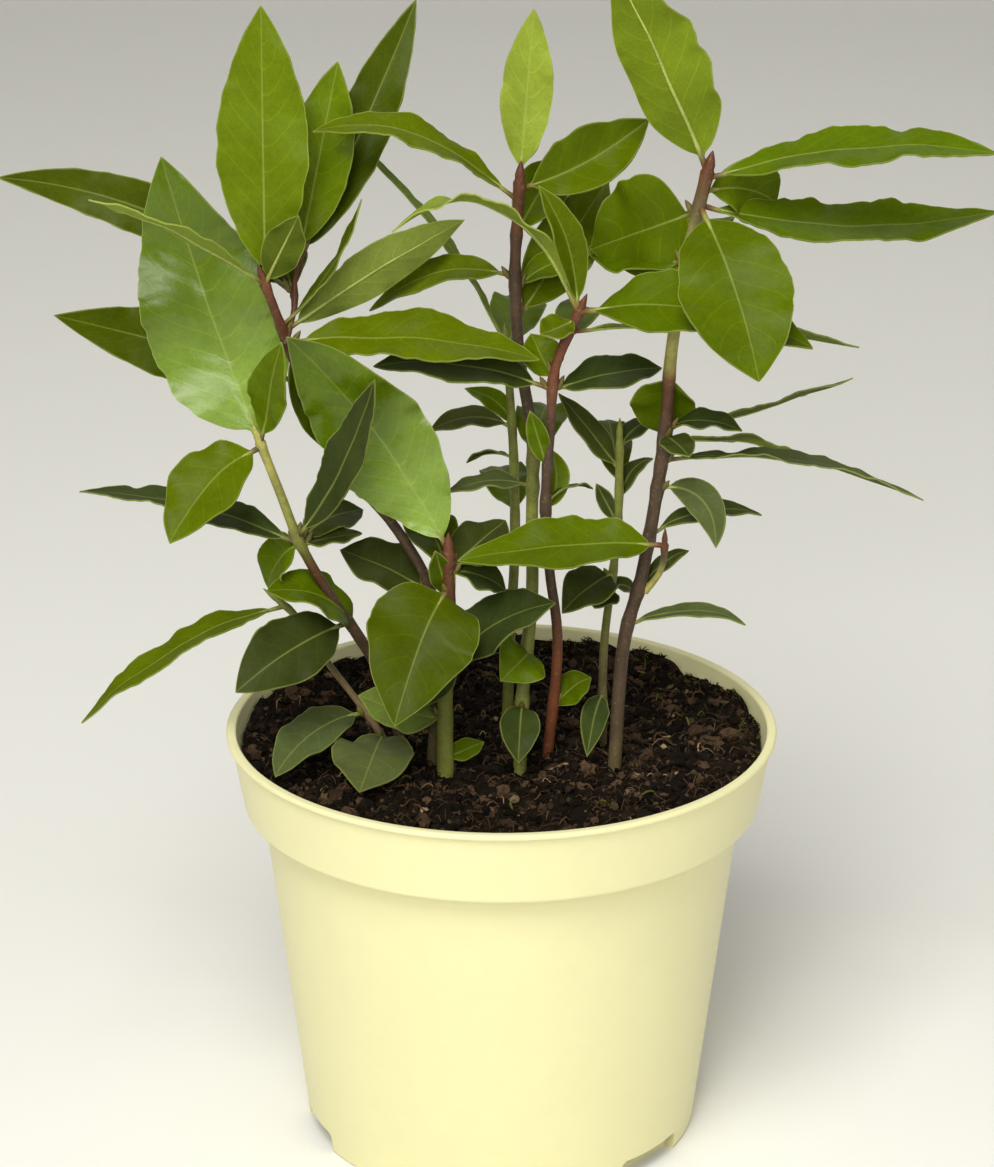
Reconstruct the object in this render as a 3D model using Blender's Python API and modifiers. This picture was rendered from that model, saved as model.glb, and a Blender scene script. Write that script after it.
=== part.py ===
"""A young bay laurel in a round plastic nursery pot, with its compost and nine leafy branches.

Run it with: blender --background --python part.py
Blender units are metres and +Z is up. The origin is the centre of the pot's flat base, and the
front of the plant looks to -Y. The tables below are in millimetres, and MM brings them to metres.
"""

import math
from typing import NamedTuple

import bmesh
import bpy
from mathutils import Matrix, Vector, noise

MM = 0.001

# Pot
POT_HEIGHT = 102
RIM_RADIUS = 65  # outside of the rolled lip
LIP_WIDTH = 2.4
LIP_HEIGHT = 1.5
COLLAR_TOP_RADIUS = 63.6
COLLAR_FOOT_RADIUS = 61.3
COLLAR_HEIGHT = 18.5
SHOULDER_RADIUS = 56.3  # the body, just under the collar
BASE_RADIUS = 47.2
POT_WALL = 1.5
POT_FLOOR = 2
POT_STEPS = 40
NOTCH_COUNT = 6
NOTCH_WIDTH = 20
NOTCH_HEIGHT = 5
NOTCH_FIRST_ANGLE = 19  # degrees from +X

# Compost
SOIL_TOP = 96
SOIL_TILT = 0.3  # rise at the back edge, and fall at the front
SOIL_LUMP = 2.4
SOIL_LUMP_SIZE = 11
SOIL_RINGS = 7
GAP = 0.3  # between the pot, the compost and the stems

# Branches
STEM_STEP = 8
BUD_RADIUS = 0.6
BLADE_THICKNESS = 0.7
PETIOLE_SHARE = 0.1
PETIOLE_LENGTH = 4  # at most
PETIOLE_HALF_WIDTH = 0.8
TIP_HALF_WIDTH = 0.4
OUTLINE_FULLNESS = 0.75
WAVE_COUNT = 2.5
WAVE_HEIGHT = 0.05  # share of the leaf's width
LEAF_GREEN = (0.16, 0.26, 0.04)


class Leaf(NamedTuple):
    """One leaf: where its root sits, how it reaches out and how it turns."""

    at: float  # share of the stem's length, from the bottom
    reach: tuple  # from root to tip
    width: float
    face: tuple  # the way its upper side looks
    bend: tuple = (0, 0, 0)  # from the chord's middle to the blade's middle
    fold: float = 0.2  # rise of the margins, as a share of the half width
    twist: float = 0  # degrees from root to tip
    shoot: int = 0  # 0 on the main stem, else the number of the side shoot
    belly: float = 0.9  # under 1 the blade is widest nearer to its root


class Branch(NamedTuple):
    """One leafy stem: its route from the compost up, its side shoots and its leaves."""

    name: str
    low_radius: float
    top_radius: float
    route: list
    leaves: list
    shoots: list = []


FRONT = (0, -9, 3)
UP = (0, -5, 9)
FLAT = (0, -2, 9)
EDGE = (0, 4, 9)
UNDER = (0, 9, 1)

BRANCHES = [
    Branch(
        "left_low_branch",
        1.4,
        1.0,
        [
            (-21, -3, 88), (-28, -2, 113), (-33, -5, 125), (-40, -9, 138),
            (-46, -12, 151), (-50, -15, 164), (-54, -18, 177),
        ],
        [
            Leaf(1.00, (-21, 10, 63), 31, (-1.5, -9, 3), (-1, 3.5, -1.8), 0.12, belly=0.72),
            Leaf(1.00, (6, -12, 27), 10, (-3, -8, 3), (0, 0, 0), 0.3),
            Leaf(0.99, (-20, -14, -18), 17, UP, (-1, 0, 3)),
            Leaf(0.71, (-51, 8, 10), 12, FLAT, (0, 0, 3), 0.2, 50),
            Leaf(0.73, (19, -24, 45), 10, (-4, -8, 3), (2, -2, 0)),
            Leaf(0.71, (-8, 6, -13), 13, (-3, -6, 7), (-1, 0, 2)),
            Leaf(0.42, (-20, -12, 15), 14, UP, (2, 0, 4)),
            Leaf(0.71, (14, 2, 2), 8, FLAT),
            Leaf(0.72, (14, 16, 2), 11, UP, (0, 0, 2)),
            Leaf(0.46, (-25, -21, -9), 16, (0, -8, 5), (0, -3, 3)),
        ],
    ),
    Branch(
        "left_tall_branch",
        1.4,
        1.0,
        [
            (-17, -11, 88), (-15, -10, 114), (-16, -9, 137), (-24, -8, 153),
            (-34, -9, 166), (-42, -12, 181), (-47, -16, 198), (-52, -19, 214),
        ],
        [
            Leaf(1.00, (0, 8, 60), 20, FRONT, (0, 0, 0), 0.15),
            Leaf(1.00, (-35, -24, 25), 7, (0, 3, 9), (0, -6, 4)),
            Leaf(1.00, (8, -6, 17), 9, (3, 8, 3)),
            Leaf(1.00, (9, 7, 43), 15, FRONT, (0, 0, 0), 0.3, 0, 1),
            Leaf(1.00, (26, 22, 54), 13, FRONT, (0, 0, -2), 0.3, 0, 1),
            Leaf(0.92, (18, 4, 28), 5, (-8, -2, 4), (2, 0, -1)),
            Leaf(0.91, (40, 18, 21), 11, UNDER, (0, 0, 1)),
            Leaf(0.89, (56, 0, -4), 15, UP, (0, 1, 2.6)),
            Leaf(0.88, (8, 8, -27), 8, FRONT),
            Leaf(0.81, (-57, 17, 11), 16, FRONT, (1, 14, -4)),
            Leaf(0.60, (-67, 14, 23), 12, FRONT, (0, 10, 3), 0.2, 0, 1),
            Leaf(0.37, (-21, 6, 8), 14, UP, (0, 0, 1)),
            Leaf(0.72, (2, 36, 4), 15, UP, (0, 0, 4)),
            Leaf(0.50, (-8, 32, 6), 12, UP, (0, 0, 4), shoot=1),
        ],
        [[(-48, -18, 200), (-46, -14, 207), (-46, -11, 212), (-45, -9, 217)]],
    ),
    Branch(
        "short_glossy_branch",
        2.1,
        1.2,
        [(-13, -18, 88), (-13, -15, 113), (-12, -16, 131), (-12, -17, 141), (-12, -18, 151)],
        [
            Leaf(1.00, (-35, -8, 53), 24, (-3, -8, 4), (2, 6.5, 0)),
            Leaf(0.86, (-12, -22, -25), 25.5, (0, -7, 6), (0, 0, 4), belly=0.72),
            Leaf(0.93, (13, 14, 7), 13, UP),
            Leaf(0.81, (-3, -3, 13), 6, FRONT),
            Leaf(0.92, (13, 4, -6), 10, UP, (0, 0, 2)),
            Leaf(0.18, (9, 3, 3), 6, UP),
            Leaf(0.33, (-20, -2, 7), 13, UP, (0, 0, -1)),
            Leaf(0.65, (-6, -4, -15), 10, FRONT),
            Leaf(0.51, (25, -4, 19), 15, UP, (-2, 0, 3)),
            Leaf(0.90, (-8, 24, 6), 12, UP, (0, 0, 4)),
        ],
    ),
    Branch(
        "centre_tall_branch",
        1.6,
        1.2,
        [
            (4, -16, 88), (5, -10, 114), (7, -6, 135), (7, -3, 153),
            (7, -2, 173), (4, -2, 193), (3, -2, 212), (4, -3, 233),
        ],
        [
            Leaf(1.00, (3, 4, 38), 11.5, FRONT, (0, 0, 0), 0.2),
            Leaf(0.97, (-45, -10, 18), 10, (0, -4, 9), (0, 0, 7)),
            Leaf(0.99, (29, 8, 14), 14, (2, -8, 5), (0, 0, -2), 0.5),
            Leaf(0.85, (-33, 4, -9), 9, UP, (0, 0, 5)),
            Leaf(0.83, (17, 8, 6), 8, UP, (0, 0, 2)),
            Leaf(0.78, (21, 20, 28), 15, FRONT),
            Leaf(0.51, (-20, -4, 0), 7, FLAT, (0, 0, 2)),
            Leaf(0.92, (10, 20, 12), 12, FRONT, (0, 2, 0)),
            Leaf(0.16, (-1, -14, -9), 9.5, FRONT, (0, 0, 2)),
            Leaf(0.24, (-6, -9, -3), 13, FRONT, (2, 0, 2)),
            Leaf(0.55, (4, 30, 4), 12, UP, (0, 0, 4)),
        ],
    ),
    Branch(
        "centre_red_branch",
        1.3,
        1.0,
        [
            (10, -7, 88), (13, -8, 123), (11, -10, 144), (10, -11, 161),
            (11, -12, 178), (12, -13, 193), (17, -14, 206),
        ],
        [
            Leaf(1.00, (-9, -4, 30), 7.5, (4, -8, 3), (2, 0, 1), 0.5),
            Leaf(1.00, (-41, -6, 20), 12, (0, 2, 9), (2, 0, 15)),
            Leaf(0.99, (-8, -6, -2), 8, UP),
            Leaf(0.86, (-5, 6, 9), 10, UP),
            Leaf(1.00, (51, -14, -4), 20, UP, (0, -3, 6)),
            Leaf(0.96, (67, 22, -10), 9, EDGE, (0, 0, 3)),
            Leaf(0.84, (25, 10, 2), 11, UP, (0, 0, 1)),
            Leaf(0.84, (-40, -2, 6), 12, UP, (0, 0, 3)),
            Leaf(0.68, (-4, -4, 15), 5, FRONT),
            Leaf(0.59, (1, 10, 12), 6, FRONT, (2, 0, 0)),
            Leaf(0.61, (11, 10, 0), 4, EDGE, (0, 0, 2)),
            Leaf(0.17, (9, 2, 7), 9, UP, (0, 0, 1)),
            Leaf(0.92, (8, 32, 0), 10, UP, (0, 0, 4)),
        ],
    ),
    Branch(
        "centre_green_branch",
        1.4,
        0.9,
        [(1, 1, 88), (2, 3, 122), (3, 4, 141), (3, 5, 161), (2, 6, 180), (1, 6, 193)],
        [
            Leaf(1.00, (-35, 12, 45), 4, (8, -3, 5), (3, 0, 1)),
            Leaf(0.81, (-19, -6, 1), 7, UP, (0, 0, 3)),
            Leaf(0.74, (-11, 6, -3), 4, EDGE, (0, 0, 2)),
            Leaf(0.81, (-11, 8, 7), 6, UP, (2, 0, 1)),
            Leaf(0.97, (5, 36, 4), 13, UP, (0, 0, 4)),
            Leaf(0.60, (-4, 32, 2), 12, UP, (0, 0, 4)),
        ],
    ),
    Branch(
        "right_thick_branch",
        1.6,
        1.3,
        [
            (26, -15, 88), (28, -11, 124), (32, -11, 142), (35, -11, 161),
            (37, -11, 178), (38, -12, 197), (41, -13, 219), (45, -14, 238),
        ],
        [
            Leaf(1.00, (-22, 2, 46), 19.5, (2, 8, 3), (0.5, 0, 1), belly=0.75),
            Leaf(0.99, (63, -6, 7), 13, (0, -4, 9), (0, 0, 4)),
            Leaf(0.95, (12, -28, -32), 25, (0, -8, 6), (1, -3, 2), 0.15),
            Leaf(0.95, (68, 14, -5), 14, UP, (0, 0, -4)),
            Leaf(0.94, (-23, 13, -12), 25, (0, -9, 2), (0, 0, 0), 0.1, belly=0.65),
            Leaf(0.97, (17, 10, -5), 15, FRONT, (1, 0, 2), 0.1, belly=1.2),
            Leaf(0.86, (-21, 18, -1), 16, UP),
            Leaf(0.69, (-2, 10, -17), 15, FRONT),
            Leaf(0.61, (43, 12, 7), 7, EDGE, (0, 0, -2)),
            Leaf(0.60, (17, -4, 1), 8, FLAT, (0, 0, 2)),
            Leaf(0.59, (5, -12, -1), 8, UP),
            Leaf(0.58, (37, 16, -11), 7, EDGE, (0, 0, 3)),
            Leaf(0.55, (60, 2, -10), 9, (0, 1, 9), (0, 0, 5)),
            Leaf(0.51, (13, -8, -12), 8, (-2, -7, 5), (3.5, 0, 4)),
            Leaf(0.43, (26, 6, 3), 6.5, FLAT, (0, 0, 3.5)),
            Leaf(0.28, (27, -4, 2), 5.5, FLAT, (0, 0, 4)),
            Leaf(0.34, (12, 8, 7), 4, UP, (0, 0, 2)),
            Leaf(1.00, (-47, -5, -2), 15, UP, (2, 0, 2), 0.2, 0, 1),
            Leaf(0.88, (7, 36, -5), 14, UP, (0, 0, 4)),
            Leaf(0.82, (8, 34, 4), 13, UP, (0, 0, 4)),
        ],
        [[(33, -11, 139), (36, -13, 144), (37, -15, 149), (37, -16, 152)]],
    ),
    Branch(
        "right_small_branch",
        1.1,
        0.8,
        [(24, -1, 88), (24, 1, 119), (26, 0, 140), (27, -1, 155), (27, -2, 173)],
        [
            Leaf(0.91, (-14, 4, 17), 7, UP, (1, 0, -1)),
            Leaf(0.60, (-12, -12, -5), 12, UP, (1, -2, 3)),
            Leaf(0.97, (8, 8, 3), 6, FLAT, (0, 0, 2)),
            Leaf(0.81, (8, 6, 9), 5, FLAT, (-1, 0, 2)),
            Leaf(0.75, (-5, 3, 9), 4, FRONT),
            Leaf(0.56, (-4, -8, -2), 8, UP),
            Leaf(0.56, (7, 4, -4), 5, UP, (0, 0, 2)),
            Leaf(0.24, (-4, -18, -8), 6.5, FRONT, (0, 0, 3)),
            Leaf(0.85, (-2, 28, 8), 9, UP, (0, 0, 3)),
        ],
    ),
    Branch(
        "front_low_twig",
        0.9,
        0.7,
        [(-24, 0, 88), (-30, -4, 103), (-41, -8, 121), (-47, -10, 132), (-51, -10, 136)],
        [
            Leaf(0.97, (-47, -10, -25), 9, FLAT, (0, 0, 5)),
            Leaf(0.36, (-20, -24, -6), 12, UP, (-2, 0, 3)),
            Leaf(0.22, (-4, -32, 0), 19, UP, (1, 0, 3), 0.15, belly=1.15),
        ],
    ),
]


def clear_scene():
    for thing in list(bpy.data.objects):
        bpy.data.objects.remove(thing, do_unlink=True)


def new_collection(name, parent, helper=False):
    collection = bpy.data.collections.new(name)
    parent.children.link(collection)
    collection.hide_render = helper
    return collection


def new_material(name, colour, roughness):
    material = bpy.data.materials.new(name)
    material.use_nodes = True
    shader = material.node_tree.nodes["Principled BSDF"]
    shader.inputs["Base Color"].default_value = (*colour, 1)
    shader.inputs["Roughness"].default_value = roughness
    shader.inputs["Metallic"].default_value = 0
    material.diffuse_color = (*colour, 1)
    return material


def new_object(name, data, collection):
    thing = bpy.data.objects.new(name, data)
    collection.objects.link(thing)
    return thing


def make_cutter(thing):
    thing.hide_render = True
    thing.display_type = "WIRE"


def solid_copy(thing, name, collection):
    """A mesh object of the evaluated shape, which takes the place of the one given."""
    graph = bpy.context.evaluated_depsgraph_get()
    mesh = bpy.data.meshes.new_from_object(thing.evaluated_get(graph))
    mesh.name = name
    matrix = thing.matrix_world.copy()
    bpy.data.objects.remove(thing, do_unlink=True)
    copy = new_object(name, mesh, collection)
    copy.matrix_world = matrix
    return copy


def turned(name, profile, collection, steps=POT_STEPS):
    """A solid of revolution; the profile runs down its outer side and ends on the axis."""
    mesh = bpy.data.meshes.new(name)
    points = [(radius * MM, 0, height * MM) for radius, height in profile]
    mesh.from_pydata(points, [(i, i + 1) for i in range(len(points) - 1)], [])
    thing = new_object(name, mesh, collection)
    screw = thing.modifiers.new("turn", "SCREW")
    screw.axis = "Z"
    screw.angle = math.tau
    screw.steps = steps
    screw.render_steps = steps
    screw.use_merge_vertices = True
    screw.merge_threshold = 1e-5
    screw.use_smooth_shade = True
    return thing


def between(low, high, height):
    """The radius at this height on a straight wall from low to high, each (radius, height)."""
    share = (height - low[1]) / (high[1] - low[1])
    return low[0] + share * (high[0] - low[0])


def collar_foot():
    return POT_HEIGHT - COLLAR_HEIGHT


def pot_profile():
    foot = collar_foot()
    inner_lip = RIM_RADIUS - LIP_WIDTH
    inside = [
        (0, POT_FLOOR),
        (BASE_RADIUS - POT_WALL - 0.8, POT_FLOOR),
        (BASE_RADIUS - POT_WALL, POT_FLOOR + 0.8),
        (SHOULDER_RADIUS - POT_WALL, foot + POT_WALL),
        (COLLAR_FOOT_RADIUS - POT_WALL - 0.6, foot + POT_WALL),
        (COLLAR_FOOT_RADIUS - POT_WALL, foot + POT_WALL + 0.6),
        (inner_lip - 0.3, POT_HEIGHT - LIP_HEIGHT - 0.5),
    ]
    lip = [
        (inner_lip + 0.2, POT_HEIGHT - 0.4),
        (inner_lip + 0.7, POT_HEIGHT),
        (RIM_RADIUS - 0.7, POT_HEIGHT),
        (RIM_RADIUS - 0.1, POT_HEIGHT - 0.4),
        (RIM_RADIUS, POT_HEIGHT - 0.9),
        (RIM_RADIUS - 0.3, POT_HEIGHT - LIP_HEIGHT),
    ]
    outside = [
        (COLLAR_TOP_RADIUS, POT_HEIGHT - LIP_HEIGHT - 0.4),
        (COLLAR_FOOT_RADIUS, foot + 1.6),
        (COLLAR_FOOT_RADIUS - 0.4, foot + 0.5),
        (COLLAR_FOOT_RADIUS - 1.4, foot),
        (SHOULDER_RADIUS + 0.5, foot),
        (SHOULDER_RADIUS, foot - 0.6),
        (BASE_RADIUS + 0.1, 0.9),
        (BASE_RADIUS - 0.8, 0),
        (0, 0),
    ]
    return inside + lip + outside


def build_pot(collection, cutters):
    pot = turned("pot", pot_profile(), collection)
    depth = 8 * POT_WALL
    notches = new_collection("pot_notches", cutters, helper=True)
    for i in range(NOTCH_COUNT):
        turn = Matrix.Rotation(math.radians(NOTCH_FIRST_ANGLE + i * 360 / NOTCH_COUNT), 4, "Z")
        mesh = bpy.data.meshes.new("notch")
        bm = bmesh.new()
        bmesh.ops.create_cube(bm, size=MM)
        size = Vector((depth, NOTCH_WIDTH, 2 * NOTCH_HEIGHT))
        bmesh.ops.scale(bm, vec=size, verts=bm.verts)
        bmesh.ops.translate(bm, vec=Vector(((BASE_RADIUS + 0.2 * depth) * MM, 0, 0)), verts=bm.verts)
        bm.to_mesh(mesh)
        bm.free()
        notch = new_object("notch", mesh, notches)
        notch.matrix_world = turn
        make_cutter(notch)
    cut = pot.modifiers.new("drain notches", "BOOLEAN")
    cut.operation = "DIFFERENCE"
    cut.operand_type = "COLLECTION"
    cut.collection = notches
    pot.data.materials.append(new_material("pale yellow plastic", (0.86, 0.82, 0.5), 0.5))
    return pot


def soil_profile():
    foot = collar_foot()
    low = (COLLAR_FOOT_RADIUS - POT_WALL, foot + POT_WALL + 0.6)
    high = (RIM_RADIUS - LIP_WIDTH - 0.3, POT_HEIGHT - LIP_HEIGHT - 0.5)
    edge = between(low, high, SOIL_TOP - SOIL_TILT) - GAP
    rings = [(edge * i / SOIL_RINGS, SOIL_TOP) for i in range(SOIL_RINGS)]
    outside = [
        (edge, SOIL_TOP - 0.5),
        (low[0] - GAP, low[1] + GAP),
        (low[0] - GAP - 0.6, low[1] + GAP - 0.5),
        (SHOULDER_RADIUS - POT_WALL - GAP, foot + POT_WALL + GAP),
        (BASE_RADIUS - POT_WALL - GAP, POT_FLOOR + 0.8 + GAP),
        (BASE_RADIUS - POT_WALL - GAP - 0.8, POT_FLOOR + GAP),
        (0, POT_FLOOR + GAP),
    ]
    return rings + outside


def build_soil(collection, cutters, holes):
    soil = solid_copy(turned("soil", soil_profile(), collection), "soil", collection)
    edge = (COLLAR_FOOT_RADIUS - 2 * POT_WALL) * MM
    for vertex in soil.data.vertices:
        x, y, z = vertex.co
        if z < (SOIL_TOP - 1) * MM:
            continue
        place = Vector((x, y, 0)) / (SOIL_LUMP_SIZE * MM)
        fade = max(0, min(1, 4 * (1 - math.hypot(x, y) / edge)))
        vertex.co.z += SOIL_LUMP * MM * noise.noise(place) * fade
        vertex.co.z += SOIL_TILT * MM * y / edge
    cut = soil.modifiers.new("stem holes", "BOOLEAN")
    cut.operation = "DIFFERENCE"
    cut.operand_type = "COLLECTION"
    cut.collection = holes
    soil.data.materials.append(new_material("dark compost", (0.03, 0.02, 0.013), 0.95))
    return soil


def smooth_route(route, step):
    """Points about one step apart on a smooth curve through the route's own points."""
    points = [Vector(point) for point in route]
    ends = [2 * points[0] - points[1], *points, 2 * points[-1] - points[-2]]
    curve = []
    for before, start, end, after in zip(ends, ends[1:], ends[2:], ends[3:]):
        count = max(1, round((end - start).length / step))
        for i in range(count):
            t = i / count
            curve.append(
                start
                + 0.5 * t * (end - before)
                + t * t * (before - 2.5 * start + 2 * end - 0.5 * after)
                + t * t * t * (1.5 * (start - end) + 0.5 * (after - before))
            )
    return [*curve, points[-1]]


def point_at(curve, share):
    """The point at this share of a list of points' length."""
    lengths = [(b - a).length for a, b in zip(curve, curve[1:])]
    left = share * sum(lengths)
    for start, end, length in zip(curve, curve[1:], lengths):
        if left <= length:
            return start.lerp(end, left / length)
        left -= length
    return curve[-1].copy()


def tube(name, points, radii, collection):
    """A closed round mesh tube through these points."""
    curve = bpy.data.curves.new(name, "CURVE")
    curve.dimensions = "3D"
    curve.bevel_depth = MM
    curve.bevel_resolution = 2
    curve.use_fill_caps = True
    spline = curve.splines.new("POLY")
    spline.points.add(len(points) - 1)
    for slot, point, radius in zip(spline.points, points, radii):
        slot.co = (*(point * MM), 1)
        slot.radius = radius
    thing = solid_copy(new_object(name, curve, collection), name, collection)
    bm = bmesh.new()
    bm.from_mesh(thing.data)
    bmesh.ops.remove_doubles(bm, verts=bm.verts, dist=1e-6)
    bmesh.ops.recalc_face_normals(bm, faces=bm.faces)
    bm.to_mesh(thing.data)
    bm.free()
    return thing


def stem_radii(branch, count):
    """Even taper from the foot up, closed by a small bud."""
    radii = []
    for i in range(count - 1):
        share = i / (count - 1)
        radii.append(branch.low_radius + share * (branch.top_radius - branch.low_radius))
    return [*radii, BUD_RADIUS]


def half_width(t, leaf):
    """Half the leaf's width at this share of its length: a slim stalk, then a pointed ellipse."""
    stalk = min(PETIOLE_SHARE, PETIOLE_LENGTH / Vector(leaf.reach).length)
    blade = min(0.999, max(0.001, (t - stalk) / (1 - stalk)))
    outline = 0.5 * leaf.width * math.sin(math.pi * blade**leaf.belly) ** OUTLINE_FULLNESS
    least = PETIOLE_HALF_WIDTH + t * (TIP_HALF_WIDTH - PETIOLE_HALF_WIDTH)
    return max(outline, least)


def leaf_point(leaf, root, t, side, phase):
    """A point of the blade's middle surface: t runs from root to tip, side from margin to margin."""
    reach = Vector(leaf.reach)
    bend = Vector(leaf.bend)
    centre = root + reach * t + bend * (4 * t * (1 - t))
    along = (reach + bend * (4 - 8 * t)).normalized()
    face = Vector(leaf.face)
    up = (face - face.dot(along) * along).normalized()
    up = Matrix.Rotation(math.radians(leaf.twist * (t - 0.5)), 3, along) @ up
    across = along.cross(up)
    reach_out = side * half_width(t, leaf)
    wave = math.sin(math.tau * WAVE_COUNT * t + phase + side) * WAVE_HEIGHT * leaf.width
    rise = abs(reach_out) * leaf.fold + abs(side) * wave * min(1, 6 * t * (1 - t))
    return centre + across * reach_out + up * rise


def stations(leaf):
    length = Vector(leaf.reach).length
    return 5 if length < 22 else 6 if length < 40 else 8


def build_leaf(leaf, root, phase, collection):
    bm = bmesh.new()
    bmesh.ops.create_grid(bm, x_segments=stations(leaf), y_segments=2, size=0.5)
    for vertex in bm.verts:
        t = min(1, max(0, vertex.co.x + 0.5))
        side = round(2 * vertex.co.y)
        vertex.co = leaf_point(leaf, root, t, side, phase) * MM
    bmesh.ops.triangulate(bm, faces=bm.faces)
    mesh = bpy.data.meshes.new("leaf")
    bm.to_mesh(mesh)
    bm.free()
    blade = new_object("leaf", mesh, collection)
    thicken = blade.modifiers.new("thickness", "SOLIDIFY")
    thicken.thickness = BLADE_THICKNESS * MM
    thicken.offset = 0
    return blade


def keep_largest_shell(mesh):
    """Fills hollows that fusing sealed and drops loose scraps."""
    bm = bmesh.new()
    bm.from_mesh(mesh)
    left = set(bm.faces)
    shells = []
    while left:
        shell = set()
        front = [left.pop()]
        while front:
            face = front.pop()
            shell.add(face)
            for edge in face.edges:
                for other in edge.link_faces:
                    if other in left:
                        left.remove(other)
                        front.append(other)
        shells.append(shell)
    shells.sort(key=len)
    for shell in shells[:-1]:
        bmesh.ops.delete(bm, geom=list(shell), context="FACES")
    bm.to_mesh(mesh)
    bm.free()


def build_branch(branch, number, collection, helpers):
    """The stem and side shoots with every leaf fused in, as one solid."""
    route = smooth_route(branch.route, STEM_STEP)
    stem = tube(branch.name + "_stem", route, stem_radii(branch, len(route)), helpers)
    pieces = new_collection(branch.name + "_pieces", helpers, helper=True)
    routes = [route]
    for shoot in branch.shoots:
        side = smooth_route(shoot, STEM_STEP)
        tube("shoot", side, [branch.top_radius] * (len(side) - 1) + [BUD_RADIUS], pieces)
        routes.append(side)
    for i, leaf in enumerate(branch.leaves):
        build_leaf(leaf, point_at(routes[leaf.shoot], leaf.at), 1.7 * i + number, pieces)
    join = stem.modifiers.new("join leaves", "BOOLEAN")
    join.operation = "UNION"
    join.operand_type = "COLLECTION"
    join.collection = pieces
    join.solver = "MANIFOLD"
    plant = solid_copy(stem, branch.name, collection)
    for piece in list(pieces.objects):
        bpy.data.objects.remove(piece, do_unlink=True)
    bpy.data.collections.remove(pieces)
    keep_largest_shell(plant.data)
    plant.data.shade_smooth()
    plant.data.set_sharp_from_angle(angle=math.radians(50))
    return plant


def build_hole(branch, holes):
    """The plain hole that a stem stands in: its own foot, a gap wider and a gap deeper."""
    route = smooth_route(branch.route, STEM_STEP)
    reached = [point for point in route if point.z < SOIL_TOP + 2 * STEM_STEP]
    down = (route[0] - route[1]).normalized()
    points = [route[0] + down * GAP, *reached]
    hole = tube("hole", points, [branch.low_radius + 1.2 * GAP] * len(points), holes)
    make_cutter(hole)


def main():
    clear_scene()
    root = bpy.context.scene.collection
    plant = new_collection("potted_bay_laurel", root)
    helpers = new_collection("cutters", root, helper=True)
    build_pot(plant, helpers)
    holes = new_collection("stem_holes", helpers, helper=True)
    leaf_green = new_material("bay leaf", LEAF_GREEN, 0.4)
    for number, branch in enumerate(BRANCHES):
        build_branch(branch, number, plant, helpers).data.materials.append(leaf_green)
        build_hole(branch, holes)
    build_soil(plant, helpers, holes)


main()
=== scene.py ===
"""The finish of a young bay laurel in a plastic nursery pot, laid out as a Blender add-on.

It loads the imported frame, then an operator for each group of pieces builds the turned pot, the
compost with its crumbs and fibres, and the nine leafy branches, and dresses them with node
materials. The last operator builds the floor, the lights and the camera. The tables of stems and
leaves are in millimetres, and MM brings them to Blender's metres.
"""

import math
import random
from typing import NamedTuple

import bmesh
import bpy
from bpy.props import FloatProperty, FloatVectorProperty, IntProperty, PointerProperty
from mathutils import Matrix, Vector, noise


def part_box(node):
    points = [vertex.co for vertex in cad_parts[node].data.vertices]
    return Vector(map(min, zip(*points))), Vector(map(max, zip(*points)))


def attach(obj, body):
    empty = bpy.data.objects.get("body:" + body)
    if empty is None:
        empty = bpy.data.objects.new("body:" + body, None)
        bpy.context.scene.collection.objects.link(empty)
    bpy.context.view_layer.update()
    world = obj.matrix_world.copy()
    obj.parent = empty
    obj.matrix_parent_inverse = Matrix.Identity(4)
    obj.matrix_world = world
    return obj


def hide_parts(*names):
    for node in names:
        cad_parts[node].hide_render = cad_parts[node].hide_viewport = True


bl_info = {
    "name": "Potted Bay Laurel",
    "version": (1, 0, 0),
    "blender": (4, 5, 0),
    "location": "View3D > Sidebar > Laurel",
    "description": "Builds and dresses a young bay laurel in a nursery pot",
    "category": "Add Mesh",
}

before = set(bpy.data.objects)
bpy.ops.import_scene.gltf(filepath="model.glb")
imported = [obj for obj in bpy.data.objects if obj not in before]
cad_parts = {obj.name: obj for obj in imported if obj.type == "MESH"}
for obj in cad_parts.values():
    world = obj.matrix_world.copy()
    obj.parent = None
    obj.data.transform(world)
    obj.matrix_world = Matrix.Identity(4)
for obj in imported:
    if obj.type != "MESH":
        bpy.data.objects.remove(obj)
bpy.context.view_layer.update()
POT_LOW, POT_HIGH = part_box("pot")
MM = 0.001
WORLD_UP = Vector((0, 0, 1))

# Pot, in millimetres, under the rim height and radius that the frame gives
POT_HEIGHT = POT_HIGH.z / MM
RIM_RADIUS = POT_HIGH.x / MM
LIP_WIDTH = 2.4
LIP_HEIGHT = 1.5
COLLAR_TOP_RADIUS = 63.6
COLLAR_FOOT_RADIUS = 61.3
COLLAR_FOOT = POT_HEIGHT - 18.5
SHOULDER_RADIUS = 56.3
BASE_RADIUS = 47.2
POT_WALL = 1.5
POT_FLOOR = 2
NOTCH_COUNT = 6
NOTCH_WIDTH = 20
NOTCH_HEIGHT = 5
NOTCH_FIRST_ANGLE = 19  # degrees from +X

# Compost, in millimetres
SOIL_TOP = 96
SOIL_TILT = 0.3
SOIL_GAP = 0.3
SOIL_LUMPS = ((24, 1.3), (9, 1.7), (3.6, 1.2), (1.5, 0.6))  # size and height of each layer
CRUMB_SIZES = {0.35: 30, 0.5: 30, 0.7: 24, 1.1: 14, 1.8: 2}  # how many in a hundred
CRUMB_KINDS = {"compost": 62, "brown": 28, "chip": 9, "beige": 1}
FIBRE_KINDS = {"compost": 50, "brown": 32, "chip": 12, "moss": 3, "beige": 3}
TUFT_KINDS = {"compost": 56, "brown": 30, "moss": 14}

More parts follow.
